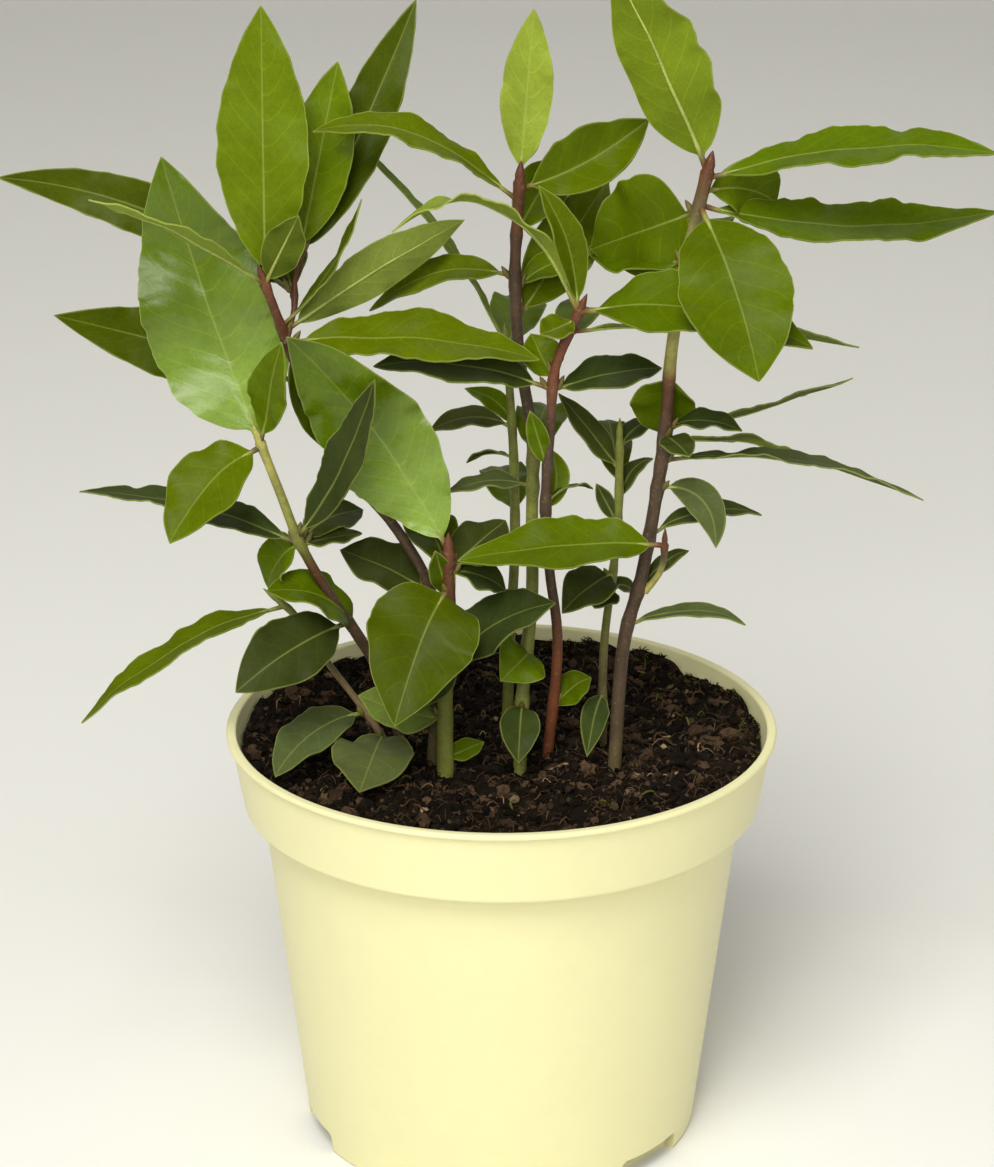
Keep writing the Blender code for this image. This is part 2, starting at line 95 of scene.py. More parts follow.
# Leaves, in millimetres or as shares of the leaf
PETIOLE_SHARE = 0.1
PETIOLE_LENGTH = 4  # at most
OUTLINE_FULLNESS = 0.75
TIP_PINCH = 0.35
TIP_PINCH_SPAN = 0.07
WAVE_COUNT = 2.5
WAVE_HEIGHT = 0.05
RIPPLE_LENGTH = 4.8
# Painted sheen on the glossy leaves: how far from the root it reaches and how strongly it pales the
# leaf
PAINTED_SHEEN_END = 0.6
PAINTED_SHEEN_SHARE = 0.8
SWELL_LENGTH = 13
SWELL_HEIGHT = 0.9
VEIN_SPACING = 5.4
FOLD_SOFTNESS = 0.5
GLOSSY_PUCKERS = 4.6
ROUGHNESS = {"glossy": 0.26, "dark": 0.46, "grey_sheen": 0.5, "under": 0.5, "pale": 0.42}
PLAIN_ROUGHNESS = 0.38

# How far each of a leaf's colours shows, as shares
UNDERSIDE_SHOW = 0.2
NET_SHOW = 0.1
SIDE_VEIN_SHOW = 0.3
RIB_SHOW = 0.34
RIM_SHOW = 0.36

# Stems
NODE_SWELLING = 0.32
NODE_REACH = 1.5
SHOOT_RADIUS = 0.6  # as a share of its stem's top
SHOOT_BARK = 0.8  # the share of the stem's bark that a shoot starts from
BUD = ((0.8, 0.95), (1.8, 1.0), (3.0, 0.75), (4.2, 0.4), (5.0, 0.1))  # rise and share of radius
LENGTH_PER_SEGMENT = 0.95
STEM_STEP = 3
BATCH = 40  # small shapes made at a time
SEED = 7
WHITE = (1, 0.99, 0.96)  # the studio light


class Leaf(NamedTuple):
    """One leaf: its tone, where its root sits, how it reaches out and how it turns."""

    tone: str
    at: float  # share of the stem's length, from the bottom
    reach: tuple  # from root to tip
    width: float
    face: tuple  # the way its upper side looks
    bend: tuple = (0, 0, 0)  # from the chord's middle to the blade's middle
    fold: float = 0.2  # rise of the margins, as a share of the half width
    twist: float = 0  # degrees from root to tip
    shoot: int = 0  # 0 on the main stem, else the number of the side shoot
    belly: float = 0.9  # under 1 the blade is widest nearer to its root


class Branch(NamedTuple):
    """One leafy stem: its node, its bark from the foot up, its route, leaves and shoots."""

    name: str
    petiole: str  # the colour of its leaf stalks
    radii: tuple  # at the foot and at the top
    bark: list  # pairs of height share and colour name, the last of which runs on to the top
    route: list
    leaves: list
    shoots: list = []


FRONT = (0, -9, 3)
UP = (0, -5, 9)
FLAT = (0, -2, 9)
EDGE = (0, 4, 9)
UNDER = (0, 9, 1)

BRANCHES = [
    Branch("left_low_branch", "brown", (1.4, 1), [
        (0, "brown"), (0.55, "brown"), (0.64, "red"), (0.7, "green_bark"), (1, "yellow_bark"),
    ], [
        (-21, -3, 88), (-28, -2, 113), (-33, -5, 125), (-40, -9, 138),
        (-46, -12, 151), (-50, -15, 164), (-54, -18, 177),
    ], [
        Leaf("glossy", 1, (-21, 10, 63), 31, (-1.5, -9, 3), (-1, 3.5, -1.8), fold=0.12, belly=0.72),
        Leaf("bright", 1, (6, -12, 27), 10, (-3, -8, 3), fold=0.3),
        Leaf("bright", 0.99, (-20, -14, -18), 17, UP, (-1, 0, 3)),
        Leaf("dark", 0.71, (-51, 8, 10), 12, FLAT, (0, 0, 3), twist=50),
        Leaf("dark", 0.73, (19, -24, 45), 10, (-4, -8, 3), (2, -2, 0)),
        Leaf("bright", 0.71, (-8, 6, -13), 13, (-3, -6, 7), (-1, 0, 2)),
        Leaf("bright", 0.42, (-20, -12, 15), 14, UP, (2, 0, 4)),
        Leaf("dark", 0.71, (14, 2, 2), 8, FLAT),
        Leaf("dark", 0.72, (14, 16, 2), 11, UP, (0, 0, 2)),
        Leaf("dark", 0.46, (-25, -21, -9), 16, (0, -8, 5), (0, -3, 3)),
    ]),
    Branch("left_tall_branch", "red", (1.4, 1), [
        (0, "grey_bark"), (0.4, "brown"), (0.8, "brown"), (0.9, "red"),
    ], [
        (-17, -11, 88), (-15, -10, 114), (-16, -9, 137), (-24, -8, 153),
        (-34, -9, 166), (-42, -12, 181), (-47, -16, 198), (-52, -19, 214),
    ], [
        Leaf("light", 1, (0, 8, 60), 20, FRONT, fold=0.15),
        Leaf("pale", 1, (-35, -24, 25), 7, (0, 3, 9), (0, -6, 4)),
        Leaf("mid", 1, (8, -6, 17), 9, (3, 8, 3)),
        Leaf("light", 1, (9, 7, 43), 15, FRONT, fold=0.3, shoot=1),
        Leaf("mid", 1, (26, 22, 54), 13, FRONT, (0, 0, -2), fold=0.3, shoot=1),
        Leaf("mid", 0.92, (18, 4, 28), 5, (-8, -2, 4), (2, 0, -1)),
        Leaf("under", 0.91, (40, 18, 21), 11, UNDER, (0, 0, 1)),
        Leaf("bright", 0.89, (56, 0, -4), 15, UP, (0, 1, 2.6)),
        Leaf("mid", 0.88, (8, 8, -27), 8, FRONT),
        Leaf("mid", 0.81, (-57, 17, 11), 16, FRONT, (1, 14, -4)),
        Leaf("mid", 0.6, (-67, 14, 23), 12, FRONT, (0, 10, 3), shoot=1),
        Leaf("dark", 0.37, (-21, 6, 8), 14, UP, (0, 0, 1)),
        Leaf("mid", 0.72, (2, 36, 4), 15, UP, (0, 0, 4)),
        Leaf("mid", 0.5, (-8, 32, 6), 12, UP, (0, 0, 4), shoot=1),
    ], [
        [(-48, -18, 200), (-46, -14, 207), (-46, -11, 212), (-45, -9, 217)],
    ]),
    Branch("short_glossy_branch", "red", (2.1, 1.2), [
        (0, "green_bark"), (0.55, "green_bark"), (0.75, "grey_bark"), (0.85, "red"),
    ], [
        (-13, -18, 88), (-13, -15, 113), (-12, -16, 131),
        (-12, -17, 141), (-12, -18, 151),
    ], [
        Leaf("glossy", 1, (-35, -8, 53), 24, (-3, -8, 4), (2, 6.5, 0)),
        Leaf("mid", 0.86, (-12, -22, -25), 25.5, (0, -7, 6), (0, 0, 4), belly=0.72),
        Leaf("dark", 0.93, (13, 14, 7), 13, UP),
        Leaf("mid", 0.81, (-3, -3, 13), 6, FRONT),
        Leaf("dark", 0.92, (13, 4, -6), 10, UP, (0, 0, 2)),
        Leaf("bright", 0.18, (9, 3, 3), 6, UP),
        Leaf("under", 0.33, (-20, -2, 7), 13, UP, (0, 0, -1)),
        Leaf("dark", 0.65, (-6, -4, -15), 10, FRONT),
        Leaf("dark", 0.51, (25, -4, 19), 15, UP, (-2, 0, 3)),
        Leaf("mid", 0.9, (-8, 24, 6), 12, UP, (0, 0, 4)),
    ]),
    Branch("centre_tall_branch", "red", (1.6, 1.2), [
        (0, "green_bark"), (0.5, "green_bark"), (0.62, "brown"), (0.85, "brown"), (1, "red"),
    ], [
        (4, -16, 88), (5, -10, 114), (7, -6, 135), (7, -3, 153),
        (7, -2, 173), (4, -2, 193), (3, -2, 212), (4, -3, 233),
    ], [
        Leaf("pale", 1, (3, 4, 38), 11.5, FRONT),
        Leaf("bright", 0.97, (-45, -10, 18), 10, (0, -4, 9), (0, 0, 7)),
        Leaf("bright", 0.99, (29, 8, 14), 14, (2, -8, 5), (0, 0, -2), fold=0.5),
        Leaf("bright", 0.85, (-33, 4, -9), 9, UP, (0, 0, 5)),
        Leaf("bright", 0.83, (17, 8, 6), 8, UP, (0, 0, 2)),
        Leaf("bright", 0.78, (21, 20, 28), 15, FRONT),
        Leaf("grey_sheen", 0.51, (-20, -4, 0), 7, FLAT, (0, 0, 2)),
        Leaf("bright", 0.92, (10, 20, 12), 12, FRONT, (0, 2, 0)),
        Leaf("dark", 0.16, (-1, -14, -9), 9.5, FRONT, (0, 0, 2)),
        Leaf("bright", 0.24, (-6, -9, -3), 13, FRONT, (2, 0, 2)),
        Leaf("bright", 0.55, (4, 30, 4), 12, UP, (0, 0, 4)),
    ]),
    Branch("centre_red_branch", "red", (1.3, 1), [
        (0, "rust"), (0.3, "rust"), (0.4, "brown"), (0.75, "brown"), (0.9, "rust"), (1, "red"),
    ], [
        (10, -7, 88), (13, -8, 123), (11, -10, 144), (10, -11, 161),
        (11, -12, 178), (12, -13, 193), (17, -14, 206),
    ], [
        Leaf("bright", 1, (-9, -4, 30), 7.5, (4, -8, 3), (2, 0, 1), fold=0.5),
        Leaf("pale", 1, (-41, -6, 20), 12, (0, 2, 9), (2, 0, 15)),
        Leaf("bright", 0.99, (-8, -6, -2), 8, UP),
        Leaf("bright", 0.86, (-5, 6, 9), 10, UP),
        Leaf("bright", 1, (51, -14, -4), 20, UP, (0, -3, 6)),
        Leaf("under", 0.96, (67, 22, -10), 9, EDGE, (0, 0, 3)),
        Leaf("dark", 0.84, (25, 10, 2), 11, UP, (0, 0, 1)),
        Leaf("dark", 0.84, (-40, -2, 6), 12, UP, (0, 0, 3)),
        Leaf("bright", 0.68, (-4, -4, 15), 5, FRONT),
        Leaf("bright", 0.59, (1, 10, 12), 6, FRONT, (2, 0, 0)),
        Leaf("dark", 0.61, (11, 10, 0), 4, EDGE, (0, 0, 2)),
        Leaf("bright", 0.17, (9, 2, 7), 9, UP, (0, 0, 1)),
        Leaf("bright", 0.92, (8, 32, 0), 10, UP, (0, 0, 4)),
    ]),
    Branch("centre_green_branch", "green_bark", (1.4, 0.9), [
        (0, "green_bark"), (1, "green_bark"),
    ], [
        (1, 1, 88), (2, 3, 122), (3, 4, 141),
        (3, 5, 161), (2, 6, 180), (1, 6, 193),
    ], [
        Leaf("under", 1, (-35, 12, 45), 4, (8, -3, 5), (3, 0, 1)),
        Leaf("grey_sheen", 0.81, (-19, -6, 1), 7, UP, (0, 0, 3)),
        Leaf("dark", 0.74, (-11, 6, -3), 4, EDGE, (0, 0, 2)),
        Leaf("bright", 0.81, (-11, 8, 7), 6, UP, (2, 0, 1)),
        Leaf("bright", 0.97, (5, 36, 4), 13, UP, (0, 0, 4)),
        Leaf("bright", 0.6, (-4, 32, 2), 12, UP, (0, 0, 4)),
    ]),
    Branch("right_thick_branch", "red", (1.6, 1.3), [
        (0, "grey_bark"), (0.2, "brown"), (0.6, "brown"), (0.68, "red"), (0.71, "yellow_bark"),
        (0.86, "yellow_bark"), (0.94, "grey_bark"), (1, "red"),
    ], [
        (26, -15, 88), (28, -11, 124), (32, -11, 142), (35, -11, 161),
        (37, -11, 178), (38, -12, 197), (41, -13, 219), (45, -14, 238),
    ], [
        Leaf("light", 1, (-22, 2, 46), 19.5, (2, 8, 3), (0.5, 0, 1), belly=0.75),
        Leaf("bright", 0.99, (63, -6, 7), 13, (0, -4, 9), (0, 0, 4)),
        Leaf("bright", 0.95, (12, -28, -32), 25, (0, -8, 6), (1, -3, 2), fold=0.15),
        Leaf("bright", 0.95, (68, 14, -5), 14, UP, (0, 0, -4)),
        Leaf("bright", 0.94, (-23, 13, -12), 25, (0, -9, 2), fold=0.1, belly=0.65),
        Leaf("bright", 0.97, (17, 10, -5), 15, FRONT, (1, 0, 2), fold=0.1, belly=1.2),
        Leaf("bright", 0.86, (-21, 18, -1), 16, UP),
        Leaf("bright", 0.69, (-2, 10, -17), 15, FRONT),
        Leaf("grey_sheen", 0.61, (43, 12, 7), 7, EDGE, (0, 0, -2)),
        Leaf("dark", 0.6, (17, -4, 1), 8, FLAT, (0, 0, 2)),
        Leaf("dark", 0.59, (5, -12, -1), 8, UP),
        Leaf("under", 0.58, (37, 16, -11), 7, EDGE, (0, 0, 3)),
        Leaf("grey_sheen", 0.55, (60, 2, -10), 9, (0, 1, 9), (0, 0, 5)),
        Leaf("grey_sheen", 0.51, (13, -8, -12), 8, (-2, -7, 5), (3.5, 0, 4)),
        Leaf("dark", 0.43, (26, 6, 3), 6.5, FLAT, (0, 0, 3.5)),
        Leaf("grey_sheen", 0.28, (27, -4, 2), 5.5, FLAT, (0, 0, 4)),
        Leaf("dark", 0.34, (12, 8, 7), 4, UP, (0, 0, 2)),
        Leaf("bright", 1, (-47, -5, -2), 15, UP, (2, 0, 2), shoot=1),
        Leaf("bright", 0.88, (7, 36, -5), 14, UP, (0, 0, 4)),
        Leaf("bright", 0.82, (8, 34, 4), 13, UP, (0, 0, 4)),
    ], [
        [(33, -11, 139), (36, -13, 144), (37, -15, 149), (37, -16, 152)],
    ]),
    Branch("right_small_branch", "green_bark", (1.1, 0.8), [
        (0, "grey_bark"), (0.3, "grey_bark"), (0.5, "green_bark"), (1, "green_bark"),
    ], [
        (24, -1, 88), (24, 1, 119), (26, 0, 140),
        (27, -1, 155), (27, -2, 173),
    ], [
        Leaf("dark", 0.91, (-14, 4, 17), 7, UP, (1, 0, -1)),
        Leaf("dark", 0.6, (-12, -12, -5), 12, UP, (1, -2, 3)),
        Leaf("dark", 0.97, (8, 8, 3), 6, FLAT, (0, 0, 2)),
        Leaf("dark", 0.81, (8, 6, 9), 5, FLAT, (-1, 0, 2)),
        Leaf("dark", 0.75, (-5, 3, 9), 4, FRONT),
        Leaf("dark", 0.56, (-4, -8, -2), 8, UP),
        Leaf("dark", 0.56, (7, 4, -4), 5, UP, (0, 0, 2)),
        Leaf("dark", 0.24, (-4, -18, -8), 6.5, FRONT, (0, 0, 3)),
        Leaf("mid", 0.85, (-2, 28, 8), 9, UP, (0, 0, 3)),
    ]),
    Branch("front_low_twig", "green_bark", (0.9, 0.7), [
        (0, "beige"), (0.5, "beige"), (1, "green_bark"),
    ], [
        (-24, 0, 88), (-30, -4, 103), (-41, -8, 121),
        (-47, -10, 132), (-51, -10, 136),
    ], [
        Leaf("bright", 0.97, (-47, -10, -25), 9, FLAT, (0, 0, 5)),
        Leaf("grey_sheen", 0.36, (-20, -24, -6), 12, UP, (-2, 0, 3)),
        Leaf("grey_sheen", 0.22, (-4, -32, 0), 19, UP, (1, 0, 3), fold=0.15, belly=1.15),
    ]),
]


def shade(red, green, blue):
    """A display colour, 0 to 255, as the linear colour that a shader takes."""
    linear = []
    for value in (red, green, blue):
        part = value / 255
        linear.append(part / 12.92 if part <= 0.04045 else ((part + 0.055) / 1.055) ** 2.4)
    return tuple(linear)


def size_prop(name, description, default, unit="LENGTH"):
    return FloatProperty(name=name, description=description, default=default, min=0, unit=unit)


def count_prop(name, description, default, least=0):
    return IntProperty(name=name, description=description, default=default, min=least)


def colour_prop(name, description, *display):
    linear = shade(*display)
    return FloatVectorProperty(
        name=name, description=description, default=linear, min=0, max=1, subtype="COLOR"
    )


class LaurelSizes(bpy.types.PropertyGroup):
    blade_thickness: size_prop("Blade thickness", "Thickness of a leaf", 0.36 * MM)
    ripple_height: size_prop("Ripple height", "Rise of a leaf margin's small waves", 0.55 * MM)
    puckering: size_prop("Puckering", "Rise of a leaf between its side veins", 0.16 * MM)
    pot_steps: count_prop("Pot steps", "Steps round the pot", 192, 24)
    crumb_count: count_prop("Crumbs", "Loose crumbs of compost", 4400)
    fibre_count: count_prop("Fibres", "Loose fibres of compost", 1800)
    moss_count: count_prop("Moss", "Tufts along the pot's wall", 1500)


class LaurelColours(bpy.types.PropertyGroup):
    pale: colour_prop("Pale leaf", "The youngest leaves", 118, 134, 44)
    light: colour_prop("Light leaf", "Young leaves", 88, 107, 8)
    glossy: colour_prop("Glossy leaf", "Broad shining leaves", 72, 94, 0)
    # Painted sheen: a paler colour on the glossy leaves' lower half that stands in for the
    # highlight there
    painted_sheen: colour_prop("Sheen", "The pale lower half of the glossy leaves", 126, 152, 60)
    bright: colour_prop("Bright leaf", "Full-grown young leaves", 76, 92, 1)
    mid: colour_prop("Green leaf", "Leaves of last season", 62, 74, 2)
    dark: colour_prop("Dark leaf", "Old leaves", 52, 61, 22)
    # Painted sheen: the leaf green made paler and greyer for leaves seen along their blade,
    # standing in for the glint at that grazing angle
    grey_sheen: colour_prop("Grey leaf", "Old leaves seen along their blade", 74, 82, 42)
    under: colour_prop("Turned leaf", "Young leaves that show their underside", 100, 114, 46)
    rib: colour_prop("Rib", "The middle rib of every leaf", 158, 166, 84)
    red: colour_prop("Red bark", "Young red stems", 88, 50, 30)
    rust: colour_prop("Rust bark", "Orange-red stretches of stem", 108, 60, 36)
    beige: colour_prop("Beige bark", "The stem of the low twig", 132, 110, 82)
    brown: colour_prop("Brown bark", "Old stems", 70, 53, 38)
    grey_bark: colour_prop("Grey bark", "The foot of old stems", 92, 82, 52)
    green_bark: colour_prop("Green bark", "Young green stems", 108, 112, 46)
    yellow_bark: colour_prop("Yellow bark", "Pale stretches of stem", 164, 158, 84)
    pot: colour_prop("Pot", "Pale yellow plastic", 226, 221, 170)
    compost: colour_prop("Compost", "Moist compost", 22, 16, 9)
    chip: colour_prop("Bark chip", "Dry bits in the compost", 70, 55, 38)
    moss: colour_prop("Moss", "Moss and root threads", 84, 88, 34)
    floor: colour_prop("Floor", "Studio floor and backdrop", 234, 233, 228)


def sizes():
    return bpy.context.scene.laurel_sizes


def colour(name):
    return (*getattr(bpy.context.scene.laurel_colours, name), 1)


# Shader nodes


def fill(tree, node, inputs):
    """Sets a node's inputs, each to a value or to another node's output."""
    for key, value in inputs.items():
        if isinstance(value, bpy.types.NodeSocket):
            tree.links.new(value, node.inputs[key])
        else:
            node.inputs[key].default_value = value


def add_node(tree, kind, inputs=None, **settings):
    node = tree.nodes.new("ShaderNode" + kind)
    for key, value in settings.items():
        setattr(node, key, value)
    fill(tree, node, inputs or {})
    return node


def mixed(tree, factor, first, second):
    return add_node(tree, "Mix", {0: factor, 6: first, 7: second}, data_type="RGBA").outputs[2]


def maths(tree, operation, *values, clamp=False):
    inputs = dict(enumerate(values))
    return add_node(tree, "Math", inputs, operation=operation, use_clamp=clamp).outputs[0]


def ranged(tree, value, low, high, to_low=0.0, to_high=1.0):
    """The value with low to high brought to to_low to to_high, eased at both ends."""
    inputs = dict(enumerate((value, low, high, to_low, to_high)))
    return add_node(tree, "MapRange", inputs, interpolation_type="SMOOTHSTEP").outputs[0]


def attribute(tree, name):
    return add_node(tree, "Attribute", attribute_name=name).outputs


def new_group(name, inputs, outputs):
    """(tree, input node, output node) of a new shader node group with these sockets."""
    tree = bpy.data.node_groups.new(name, "ShaderNodeTree")
    for name, default in inputs.items():
        kind = "NodeSocketColor" if name == "Color" else "NodeSocketFloat"
        made = tree.interface.new_socket(name=name, in_out="INPUT", socket_type=kind)
        made.default_value = default
    for name in outputs:
        kind = "NodeSocketColor" if name == "Color" else "NodeSocketFloat"
        tree.interface.new_socket(name=name, in_out="OUTPUT", socket_type=kind)
    return tree, tree.nodes.new("NodeGroupInput"), tree.nodes.new("NodeGroupOutput")


def object_place(tree):
    return add_node(tree, "TexCoord").outputs["Object"]


def object_noise(tree, scale, detail=3.0, roughness=0.6):
    place = object_place(tree)
    inputs = {"Vector": place, "Scale": scale, "Detail": detail, "Roughness": roughness}
    return add_node(tree, "TexNoise", inputs).outputs[0]


def mottle_group():
    """Colour that drifts darker and lighter over the surface, in patches and in fine grain."""
    tree, given, result = new_group(
        "Mottle",
        {"Color": (0.5, 0.5, 0.5, 1), "Patches": 60.0, "Amount": 0.2},
        ("Color", "Value"),
    )
    broad = object_noise(tree, given.outputs["Patches"], 3)
    fine = object_noise(tree, maths(tree, "MULTIPLY", given.outputs["Patches"], 9.0), 2)
    both = maths(tree, "MULTIPLY_ADD", broad, 0.7, maths(tree, "MULTIPLY", fine, 0.3))
    centred = maths(tree, "MULTIPLY_ADD", both, 2.0, -1.0)
    swing = maths(tree, "MULTIPLY_ADD", centred, given.outputs["Amount"], 1.0)
    fill(tree, result, {"Color": brighter(tree, given.outputs["Color"], swing), "Value": both})
    return tree


def vein_group():
    """Masks of a leaf's rib, side veins, net and margin, and the height of its fine relief."""
    tree, given, result = new_group(
        "Leaf veins", {"Net": 900.0}, ("Rib", "Veins", "Net", "Edge", "Height")
    )
    rib_distance = attribute(tree, "rib")["Fac"]
    edge_distance = attribute(tree, "edge")["Fac"]
    rib = ranged(tree, rib_distance, 0.1, 0.5, 1, 0)
    edge = ranged(tree, edge_distance, 0.08, 0.32, 1, 0)
    drift = maths(tree, "MULTIPLY_ADD", object_noise(tree, 400.0), 0.16, -0.08)
    phase = maths(tree, "ADD", attribute(tree, "vein")["Fac"], drift)
    away = maths(tree, "ABSOLUTE", maths(tree, "SUBTRACT", maths(tree, "FRACT", phase), 0.5))
    line = ranged(tree, away, 0.0, 0.07, 1, 0)
    inside = ranged(tree, edge_distance, 0.3, 2.2)
    veins = maths(tree, "MULTIPLY", line, inside)
    inputs = {"Vector": object_place(tree), "Scale": given.outputs["Net"]}
    cells = add_node(tree, "TexVoronoi", inputs, feature="DISTANCE_TO_EDGE").outputs["Distance"]
    net = ranged(tree, cells, 0.02, 0.16, 1, 0)
    height = maths(tree, "MULTIPLY_ADD", veins, 0.65, maths(tree, "MULTIPLY", net, 0.35))
    masks = {"Rib": rib, "Veins": veins, "Net": net, "Edge": edge, "Height": height}
    fill(tree, result, masks)
    return tree


def group_node(tree, name, **inputs):
    group = bpy.data.node_groups.get(name)
    if group is None:
        group = {"Mottle": mottle_group, "Leaf veins": vein_group}[name]()
    return add_node(tree, "Group", inputs, node_tree=group).outputs


def new_material(name):
    """(material, tree, its Principled BSDF)"""
    material = bpy.data.materials.new(name)
    material.use_nodes = True
    tree = material.node_tree
    return material, tree, tree.nodes["Principled BSDF"]


def bump(tree, shader, height, strength, distance):
    inputs = {"Height": height, "Strength": strength, "Distance": distance}
    fill(tree, shader, {"Normal": add_node(tree, "Bump", inputs).outputs[0]})


def brighter(tree, base, factor):
    return add_node(tree, "VectorMath", {0: base, "Scale": factor}, operation="SCALE").outputs[0]


def leaf_material(name, underside, gloss_level):
    """A leaf's upper side, or its paler and duller underside, over the leaf's own tint."""
    material, tree, shader = new_material(name)
    tint = attribute(tree, "tint")
    mottled = group_node(tree, "Mottle", Color=tint["Color"], Patches=70.0, Amount=0.5)
    veins = group_node(tree, "Leaf veins", Net=1000.0)
    base = mottled["Color"]
    if underside:
        base = mixed(tree, UNDERSIDE_SHOW, base, colour("under"))
    net = maths(tree, "MULTIPLY", veins["Net"], NET_SHOW)
    side = maths(tree, "MULTIPLY", veins["Veins"], SIDE_VEIN_SHOW)
    veined = mixed(tree, maths(tree, "MAXIMUM", net, side), base, brighter(tree, base, 1.9))
    middle = maths(tree, "MULTIPLY", veins["Rib"], RIB_SHOW)
    ribbed = mixed(tree, middle, veined, colour("rib"))
    rim = maths(tree, "MULTIPLY", veins["Edge"], RIM_SHOW)
    edged = mixed(tree, rim, ribbed, colour("rib"))
    gloss = maths(tree, "MULTIPLY_ADD", mottled["Value"], 0.16, tint["Alpha"])
    rough = maths(tree, "ADD", gloss, 0.14 if underside else -0.08, clamp=True)
    finish = {"Base Color": edged, "Roughness": rough, "Specular IOR Level": gloss_level}
    fill(tree, shader, finish)
    bump(tree, shader, veins["Height"], 0.3 if underside else 0.2, 0.1 * MM)
    return material


def bark_material():
    """Stems and leaf stalks: the tint of each stretch, with fine mottling and specks."""
    material, tree, shader = new_material("bay bark")
    tint = attribute(tree, "tint")["Color"]
    mottled = group_node(tree, "Mottle", Color=tint, Patches=220.0, Amount=1.0)
    specks = ranged(tree, object_noise(tree, 1100.0, 3, 0.7), 0.56, 0.74)
    speck = maths(tree, "MULTIPLY", specks, 0.3)
    dotted = mixed(tree, speck, mottled["Color"], colour("yellow_bark"))
    rough = maths(tree, "MULTIPLY_ADD", mottled["Value"], 0.3, 0.35)
    fill(tree, shader, {"Base Color": dotted, "Roughness": rough, "Specular IOR Level": 0.3})
    bump(tree, shader, mottled["Value"], 0.5, 0.25 * MM)
    return material


def pot_material():
    """Moulded plastic: an even colour with faint clouds, a fine skin and compost dust inside."""
    material, tree, shader = new_material("pale yellow plastic")
    mottled = group_node(tree, "Mottle", Color=colour("pot"), Patches=22.0, Amount=0.07)
    smear = ranged(tree, object_noise(tree, 420.0, 5), 0.42, 0.62)
    dirty = maths(tree, "MULTIPLY", attribute(tree, "dust")["Fac"], smear, clamp=True)
    stained = mixed(tree, dirty, mottled["Color"], colour("compost"))
    rough = maths(tree, "MULTIPLY_ADD", mottled["Value"], 0.12, 0.36)
    fill(tree, shader, {"Base Color": stained, "Roughness": rough})
    bump(tree, shader, object_noise(tree, 2600.0, 2), 0.12, 0.06 * MM)
    return material


def compost_material(name, tinted):
    """Moist compost, dark with rust brown patches, or bits in their own tint."""
    material, tree, shader = new_material(name)
    start = attribute(tree, "tint")["Color"] if tinted else colour("compost")
    mottled = group_node(tree, "Mottle", Color=start, Patches=170.0, Amount=0.9)
    base = mottled["Color"]
    if not tinted:
        rust = ranged(tree, object_noise(tree, 260.0, 4), 0.5, 0.68)
        base = mixed(tree, maths(tree, "MULTIPLY", rust, 0.4), base, colour("chip"))
    rough = maths(tree, "MULTIPLY_ADD", mottled["Value"], -0.3, 0.95)
    fill(tree, shader, {"Base Color": base, "Roughness": rough, "Specular IOR Level": 0.08})
    bump(tree, shader, object_noise(tree, 900.0, 5, 0.7), 0.8, 0.6 * MM)
    return material


def floor_material():
    material, tree, shader = new_material("studio floor")
    mottled = group_node(tree, "Mottle", Color=colour("floor"), Patches=3.0, Amount=0.03)
    fill(tree, shader, {"Base Color": mottled["Color"], "Roughness": 0.7})
    return material


# Pieces


def in_scene(item):
    bpy.context.scene.collection.objects.link(item)
    return item


def new_piece(name, bm, materials):
    """An object at the origin from a bmesh, which it frees."""
    mesh = bpy.data.meshes.new(name)
    bm.to_mesh(mesh)
    bm.free()
    for material in materials:
        mesh.materials.append(material)
    return in_scene(bpy.data.objects.new(name, mesh))


def with_modifiers_applied(piece):
    """The piece with its modifiers made part of its mesh."""
    graph = bpy.context.evaluated_depsgraph_get()
    mesh = bpy.data.meshes.new_from_object(piece.evaluated_get(graph))
    mesh.name = piece.name
    piece.modifiers.clear()
    piece.data = mesh
    return piece


def smooth(piece, degrees=45):
    piece.data.shade_smooth()
    piece.data.set_sharp_from_angle(angle=math.radians(degrees))
    return piece


def hand_in(piece, slot, *nodes):
    """Fixes a finished piece to the plant's one body, in place of the frame's plain solids."""
    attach(piece, "root")
    if nodes:
        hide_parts(*nodes)
    return piece


def turned(bm, profile, steps):
    """A full turn of a profile of (radius, height) in millimetres, closed at the axis."""
    points = [bm.verts.new((radius * MM, 0, height * MM)) for radius, height in profile]
    line = [bm.edges.new(pair) for pair in zip(points, points[1:])]
    bmesh.ops.spin(
        bm,
        geom=[*points, *line],
        cent=(0, 0, 0),
        axis=WORLD_UP,
        angle=math.tau,
        steps=steps,
        use_merge=True,
    )
    bmesh.ops.remove_doubles(bm, verts=bm.verts, dist=0.002 * MM)
    bmesh.ops.recalc_face_normals(bm, faces=bm.faces)


def arc(centre, radius, start, end, count=6):
    """Points on an arc, in degrees from outwards, for a turned profile."""
    points = []
    for i in range(count + 1):
        angle = math.radians(start + (end - start) * i / count)
        points.append((centre[0] + radius * math.cos(angle), centre[1] + radius * math.sin(angle)))
    return points


def wall_radius(height):
    """The radius of the pot's inner wall beside the compost."""
    low = (COLLAR_FOOT_RADIUS - POT_WALL, COLLAR_FOOT + POT_WALL + 0.6)
    high = (RIM_RADIUS - LIP_WIDTH - 0.3, POT_HEIGHT - LIP_HEIGHT - 0.5)
    share = (height - low[1]) / (high[1] - low[1])
    return low[0] + share * (high[0] - low[0])


